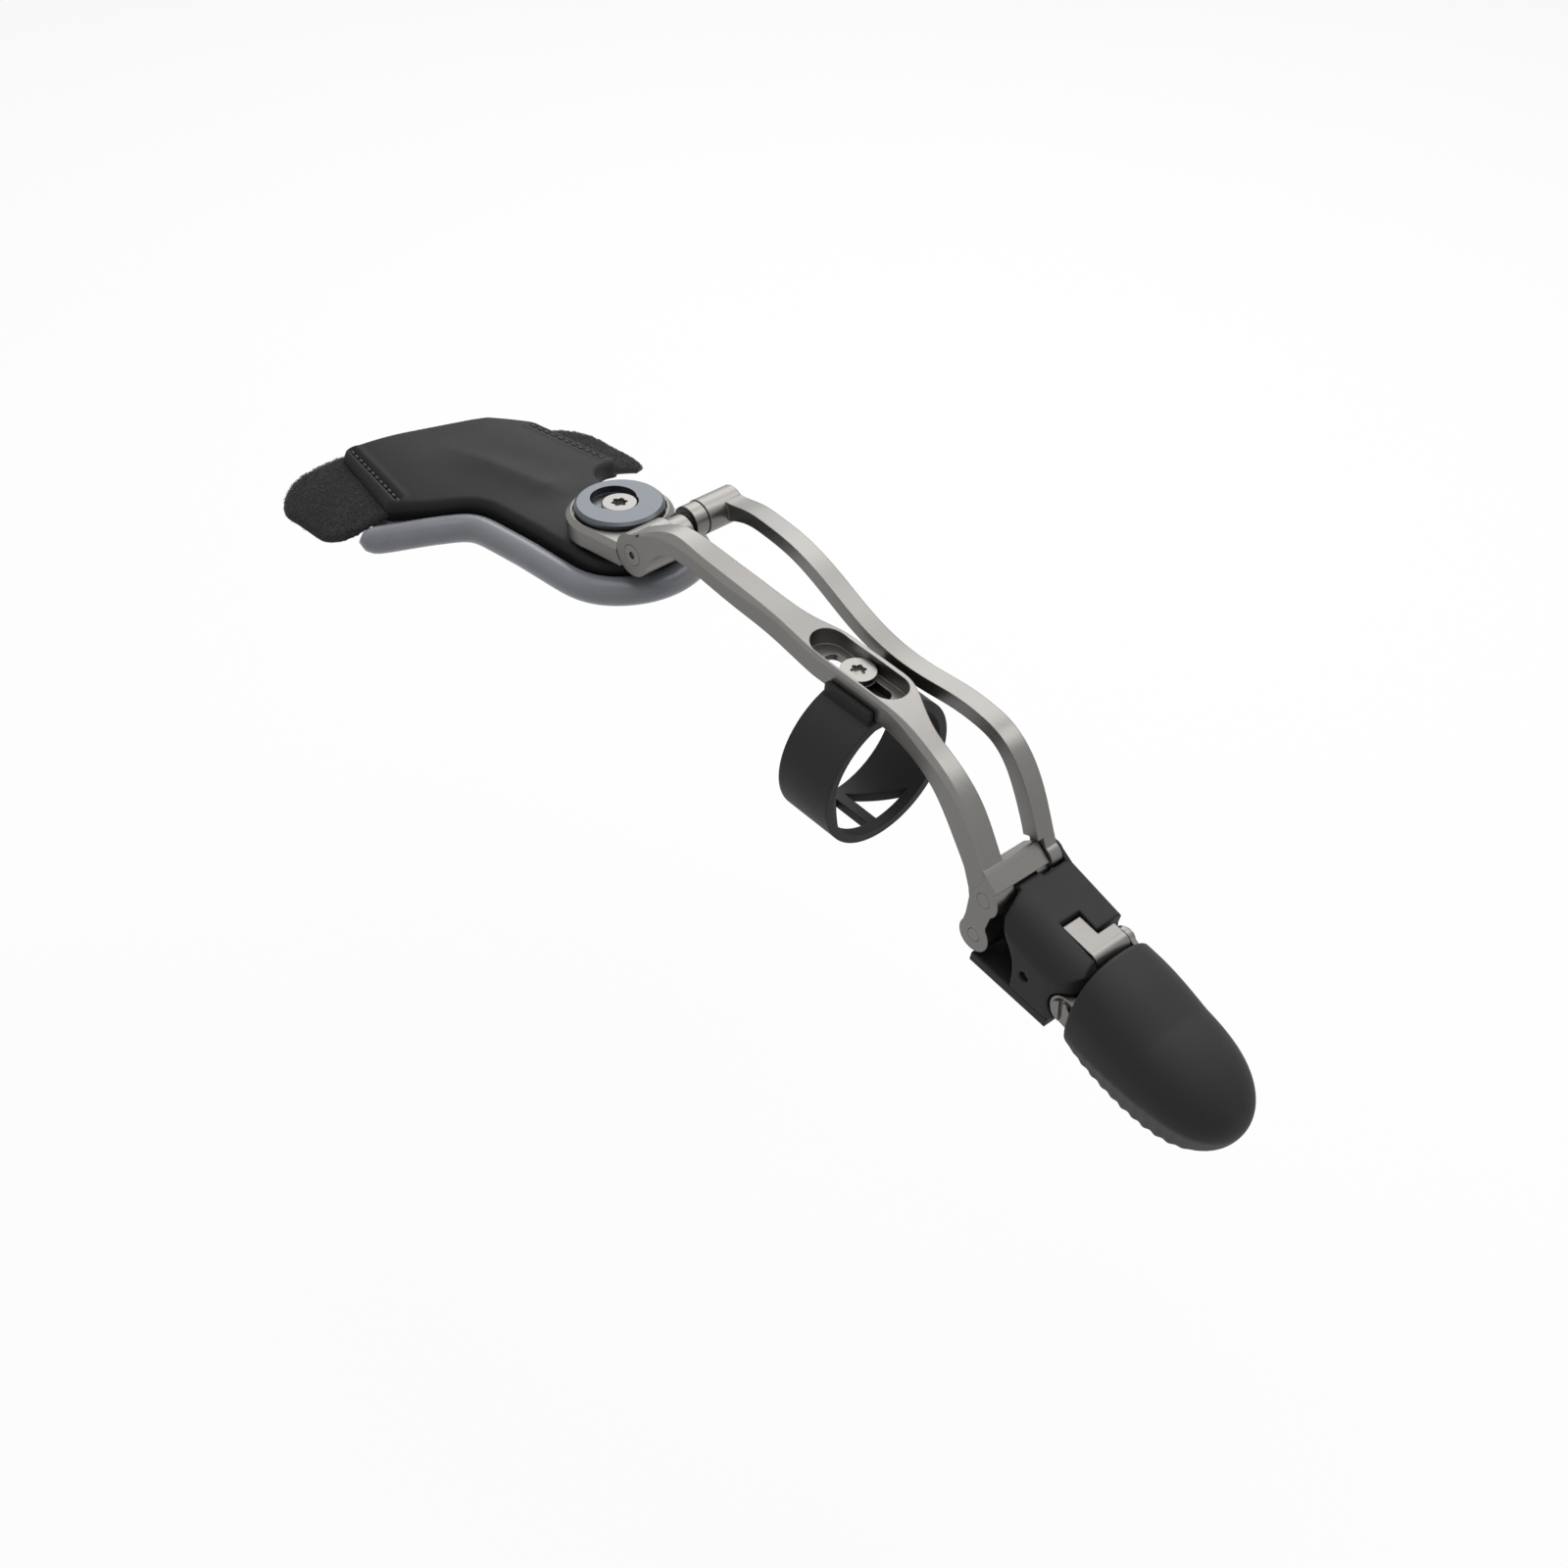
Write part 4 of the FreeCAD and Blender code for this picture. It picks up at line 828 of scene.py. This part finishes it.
def tip_row(s, look):
    """Points round the fingertip at s, with the slanted flats and the ribs of its sole."""
    half, up, down = tip_shape(min(s, TIP_ROUND))
    past = max(0.0, s - TIP_ROUND) / (TIP_LENGTH - TIP_ROUND)
    close = math.sqrt(max(0.0, 1 - past ** TIP_OVAL))
    span = (half * SOLE_FACE[0]) ** SOLE_POWER + (down * SOLE_FACE[1]) ** SOLE_POWER
    cut = SOLE_CUT * np.clip((s - SOLE_START) / SOLE_RUN, 0, 1)
    limit = (span ** (1 / SOLE_POWER) - cut) * close
    fade = np.clip((s - SOLE_START) / RIBS_FADE, 0, 1) * np.clip((RIBS_END - s) / RIBS_FADE, 0, 1)
    wave = 0.5 + 0.5 * math.cos(2 * math.pi * s * MM / look.rib_pitch)
    row = []
    for k in range(TIP_SIDES):
        a = 2 * math.pi * k / TIP_SIDES
        c, v = math.cos(a), math.sin(a)
        y = half * math.copysign(abs(c) ** TIP_SQUARE, c) * close
        n = (up if v > 0 else down) * math.copysign(abs(v) ** TIP_SQUARE, v) * close
        over = max(0.0, abs(y) * SOLE_FACE[0] - n * SOLE_FACE[1] - limit)
        y -= math.copysign(over * SOLE_FACE[0], y)
        n += over * SOLE_FACE[1]
        grip = np.clip(-v * 1.2, 0, 1) * fade
        swell = 1 + look.rib_height / MM * grip * wave / half
        row.append(tip_point(s, n * swell, y * swell))
    return row


def cut_to_face(verts):
    """Moves what lies behind the fingertip's face plane onto it, along the axis."""
    (x0, z0), (x1, z1) = TIP_FACE
    normal = np.array((-(z1 - z0), x1 - x0)) / math.hypot(x1 - x0, z1 - z0)
    depth = (verts[:, 0] - x0) * normal[0] + (verts[:, 2] - z0) * normal[1]
    behind = depth < 0
    axis = np.array((math.cos(TIP_PITCH), 0, -math.sin(TIP_PITCH)))
    rate = axis[0] * normal[0] + axis[2] * normal[1]
    verts[behind] -= (depth[behind] / rate)[:, None] * axis
    return verts


def ring_faces(ring, after):
    """Quads between two rings of vertex numbers."""
    count = len(ring)
    return [(ring[k], ring[(k + 1) % count], after[(k + 1) % count], after[k]) for k in range(count)]


class PROSTHESIS_OT_fingertip(bpy.types.Operator):
    """Shape the soft fingertip with its grip ribs"""
    bl_idname = "prosthesis.fingertip"
    bl_label = "Fingertip"

    def execute(self, context):
        look = context.scene.tip_look
        rows = []
        for i in range(TIP_ROWS):
            ease = math.sin(i / (TIP_ROWS - 1) * math.pi / 2) ** 0.9
            rows += tip_row(TIP_BACK + (TIP_LENGTH - TIP_BACK) * ease, look)
        verts = cut_to_face(np.array(rows))
        faces = []
        for i in range(TIP_ROWS - 1):
            faces += ring_faces([i * TIP_SIDES + k for k in range(TIP_SIDES)],
                                [(i + 1) * TIP_SIDES + k for k in range(TIP_SIDES)])
        # the face is drawn in by steps from the first row, and the end closes with one polygon
        ring = verts[:TIP_SIDES]
        middle = ring.mean(0)
        extra = [middle + (ring - middle) * pull for pull in FACE_STEPS]
        base = len(verts)
        verts = np.vstack([verts] + extra + [middle[None]])
        last = list(range(TIP_SIDES))
        for step in range(len(extra)):
            this = [base + step * TIP_SIDES + k for k in range(TIP_SIDES)]
            faces += ring_faces(this, last)
            last = this
        hub = len(verts) - 1
        faces += [(hub, last[(k + 1) % TIP_SIDES], last[k]) for k in range(TIP_SIDES)]
        tail = (TIP_ROWS - 1) * TIP_SIDES
        faces.append(tuple(tail + k for k in range(TIP_SIDES)))
        skin = moulded_plastic("tip_silicone", tuple(look.tip_color), 0.3 * MM)
        tip = new_piece("fingertip_skin", verts, faces, skin)
        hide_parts("tip_cover")
        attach(tip, "tip")
        return {"FINISHED"}


def stitch_tree():
    """Node tree that sets a stitch along a curve at every pitch."""
    tree = bpy.data.node_groups.new("stitch_row", "GeometryNodeTree")
    face = tree.interface
    face.new_socket("Geometry", in_out="INPUT", socket_type="NodeSocketGeometry")
    face.new_socket("Geometry", in_out="OUTPUT", socket_type="NodeSocketGeometry")
    for name in ("Pitch", "Width", "Length"):
        face.new_socket(name, in_out="INPUT", socket_type="NodeSocketFloat")
    face.new_socket("Thread", in_out="INPUT", socket_type="NodeSocketMaterial")
    add = tree.nodes.new
    link = tree.links.new
    source = add("NodeGroupInput")
    points = add("GeometryNodeCurveToPoints")
    points.mode = "LENGTH"
    link(source.outputs["Geometry"], points.inputs["Curve"])
    link(source.outputs["Pitch"], points.inputs["Length"])
    ball = add("GeometryNodeMeshUVSphere")
    ball.inputs["Segments"].default_value = 8
    ball.inputs["Rings"].default_value = 6
    ball.inputs["Radius"].default_value = 0.5
    size = add("ShaderNodeCombineXYZ")
    link(source.outputs["Width"], size.inputs["X"])
    link(source.outputs["Width"], size.inputs["Y"])
    link(source.outputs["Length"], size.inputs["Z"])
    place = add("GeometryNodeInstanceOnPoints")
    link(points.outputs["Points"], place.inputs["Points"])
    link(ball.outputs["Mesh"], place.inputs["Instance"])
    link(points.outputs["Rotation"], place.inputs["Rotation"])
    link(size.outputs["Vector"], place.inputs["Scale"])
    real = add("GeometryNodeRealizeInstances")
    link(place.outputs["Instances"], real.inputs["Geometry"])
    paint = add("GeometryNodeSetMaterial")
    link(real.outputs["Geometry"], paint.inputs["Geometry"])
    link(source.outputs["Thread"], paint.inputs["Material"])
    out = add("NodeGroupOutput")
    link(paint.outputs["Geometry"], out.inputs["Geometry"])
    return tree


def grown(name, host, tree, values):
    """The plain mesh that a node tree makes on a host object."""
    modifier = host.modifiers.new("grow", "NODES")
    modifier.node_group = tree
    sockets = {s.name: s.identifier for s in tree.interface.items_tree if s.in_out == "INPUT"}
    for key, value in values.items():
        modifier[sockets[key]] = value
    bpy.context.view_layer.update()
    evaluated = host.evaluated_get(bpy.context.evaluated_depsgraph_get())
    mesh = bpy.data.meshes.new_from_object(evaluated)
    host.modifiers.remove(modifier)
    piece = bpy.data.objects.new(name, mesh)
    bpy.context.collection.objects.link(piece)
    bpy.data.objects.remove(host)
    return piece


def curve_host(name, points):
    """Curve object along the points, for a node tree to work on."""
    data = bpy.data.curves.new(name, "CURVE")
    data.dimensions = "3D"
    spline = data.splines.new("POLY")
    spline.points.add(len(points) - 1)
    for point, place in zip(spline.points, points):
        point.co = (*[c * MM for c in place], 1)
    host = bpy.data.objects.new(name, data)
    bpy.context.collection.objects.link(host)
    return host


class PROSTHESIS_OT_stitching(bpy.types.Operator):
    """Sew the wings of the cover"""
    bl_idname = "prosthesis.stitching"
    bl_label = "Stitching"

    def execute(self, context):
        settings = context.scene.hand_look
        tree = stitch_tree()
        thread = sewing_thread("sewing_thread", THREAD_COLOR)
        for name, seam, _, sink in SEAMS:
            start, end = np.array(seam)
            line = np.array([start + (end - start) * t for t in np.linspace(0.02, 0.98, 24)])
            z = hand_height(line[:, 1]) + COVER_TOP - settings.groove_depth / MM * sink + STITCH_LIFT
            host = curve_host(name, np.column_stack([line, z]))
            row = grown(name, host, tree, {
                "Pitch": settings.stitch_pitch, "Width": settings.stitch_width,
                "Length": settings.stitch_pitch * STITCH_FILL, "Thread": thread})
            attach(row, "backplate")
        return {"FINISHED"}


class PROSTHESIS_OT_studio(bpy.types.Operator):
    """Set the pale floor, the soft lights and the camera"""
    bl_idname = "prosthesis.studio"
    bl_label = "Studio"

    def execute(self, context):
        studio = context.scene.studio
        low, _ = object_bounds()
        z = (low.z - studio.floor_drop) / MM
        side = FLOOR_HALF / MM
        corners = [(-side, -side, z), (side, -side, z), (side, side, z), (-side, side, z)]
        floor = new_piece("floor", corners, [(0, 1, 2, 3)], pale_floor(), False)
        floor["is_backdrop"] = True
        self.lamp(*KEY_LAMP, studio.key_power)
        self.lamp(*BACK_LAMP, studio.back_power)
        self.lamp(*TIP_LAMP, studio.tip_power)
        camera = bpy.data.objects.new("camera", bpy.data.cameras.new("camera"))
        camera.data.sensor_width = 36
        camera.data.lens = studio.lens
        camera.data.clip_start = 0.01
        camera.location = studio.place
        camera.rotation_euler = (math.pi / 2 - studio.elevation, 0, studio.azimuth)
        context.collection.objects.link(camera)
        context.scene.camera = camera
        context.scene.view_settings.view_transform = "Standard"
        context.scene.world = studio_world()
        return {"FINISHED"}

    def lamp(self, name, place, aim, size, power):
        """Square soft lamp that looks from its place at its aim."""
        lamp = bpy.data.objects.new(name, bpy.data.lights.new(name, "AREA"))
        lamp.data.size = size
        lamp.data.energy = power
        lamp.location = place
        lamp.rotation_euler = (Vector(place) - Vector(aim)).to_track_quat("Z", "Y").to_euler()
        bpy.context.collection.objects.link(lamp)


def pale_floor():
    """White to the camera and in reflections, with the object's shadow kept."""
    finish = Finish("pale_floor", specular_ior_level=0.1)
    speck = finish.noise(0.02)
    finish.tint((0.86, 0.86, 0.86), speck, 0.01)
    finish.wire("Roughness", speck * 0.1 + 0.7)
    glow = finish.node("ShaderNodeEmission", None, {"Color": (1, 1, 1, 1), "Strength": 1.0})
    seen = finish.node("ShaderNodeLightPath", output="Is Camera Ray")
    rays = seen.socket.node.outputs
    mirrored = Signal(finish, rays["Is Glossy Ray"]) + Signal(finish, rays["Is Transmission Ray"])
    mix = finish.node("ShaderNodeMixShader", None, {0: seen * 0.86 + mirrored * 0.5, 2: glow})
    finish.tree.links.new(finish.surface.outputs[0], mix.socket.node.inputs[1])
    finish.tree.links.new(mix.socket, finish.tree.nodes["Material Output"].inputs["Surface"])
    return finish.material


def studio_world():
    """Plain white to the camera and in reflections, softer light on the object."""
    world = bpy.data.worlds.new("studio")
    world.use_nodes = True
    tree = world.node_tree
    light = tree.nodes["Background"]
    light.inputs["Color"].default_value = (1.0, 1.0, 1.0, 1)
    light.inputs["Strength"].default_value = 0.42
    white = tree.nodes.new("ShaderNodeBackground")
    white.inputs["Color"].default_value = (1.0, 1.0, 1.0, 1)
    white.inputs["Strength"].default_value = 1.0
    rays = tree.nodes.new("ShaderNodeLightPath")
    share = rays.outputs["Is Camera Ray"]
    for label in ("Is Glossy Ray", "Is Transmission Ray"):
        total = tree.nodes.new("ShaderNodeMath")
        tree.links.new(share, total.inputs[0])
        tree.links.new(rays.outputs[label], total.inputs[1])
        share = total.outputs[0]
    mix = tree.nodes.new("ShaderNodeMixShader")
    tree.links.new(share, mix.inputs[0])
    tree.links.new(light.outputs[0], mix.inputs[1])
    tree.links.new(white.outputs[0], mix.inputs[2])
    tree.links.new(mix.outputs[0], tree.nodes["World Output"].inputs["Surface"])
    return world


class PROSTHESIS_PT_panel(bpy.types.Panel):
    """Buttons for each group of pieces"""
    bl_idname = "PROSTHESIS_PT_panel"
    bl_label = "Finger prosthesis"
    bl_space_type = "VIEW_3D"
    bl_region_type = "UI"
    bl_category = "Prosthesis"

    def draw(self, context):
        for operator in STEPS:
            self.layout.operator(operator.bl_idname)


STEPS = (PROSTHESIS_OT_metalwork, PROSTHESIS_OT_moulded_shells, PROSTHESIS_OT_back_cover,
         PROSTHESIS_OT_knuckle_pad, PROSTHESIS_OT_strap_tabs, PROSTHESIS_OT_stitching,
         PROSTHESIS_OT_fingertip, PROSTHESIS_OT_studio)
SETTINGS = {"hand_look": HandPlateSettings, "metal_look": MetalSettings, "tip_look": FingertipSettings,
            "studio": StudioSettings}


def register():
    for group in SETTINGS.values():
        bpy.utils.register_class(group)
    for cls in STEPS + (PROSTHESIS_PT_panel,):
        bpy.utils.register_class(cls)
    for name, group in SETTINGS.items():
        setattr(bpy.types.Scene, name, PointerProperty(type=group))


def unregister():
    for name in SETTINGS:
        delattr(bpy.types.Scene, name)
    for cls in (PROSTHESIS_PT_panel,) + STEPS[::-1] + tuple(SETTINGS.values()):
        bpy.utils.unregister_class(cls)


def main():
    register()
    for operator in STEPS:
        area, name = operator.bl_idname.split(".")
        getattr(getattr(bpy.ops, area), name)()


if __name__ == "__main__":
    main()
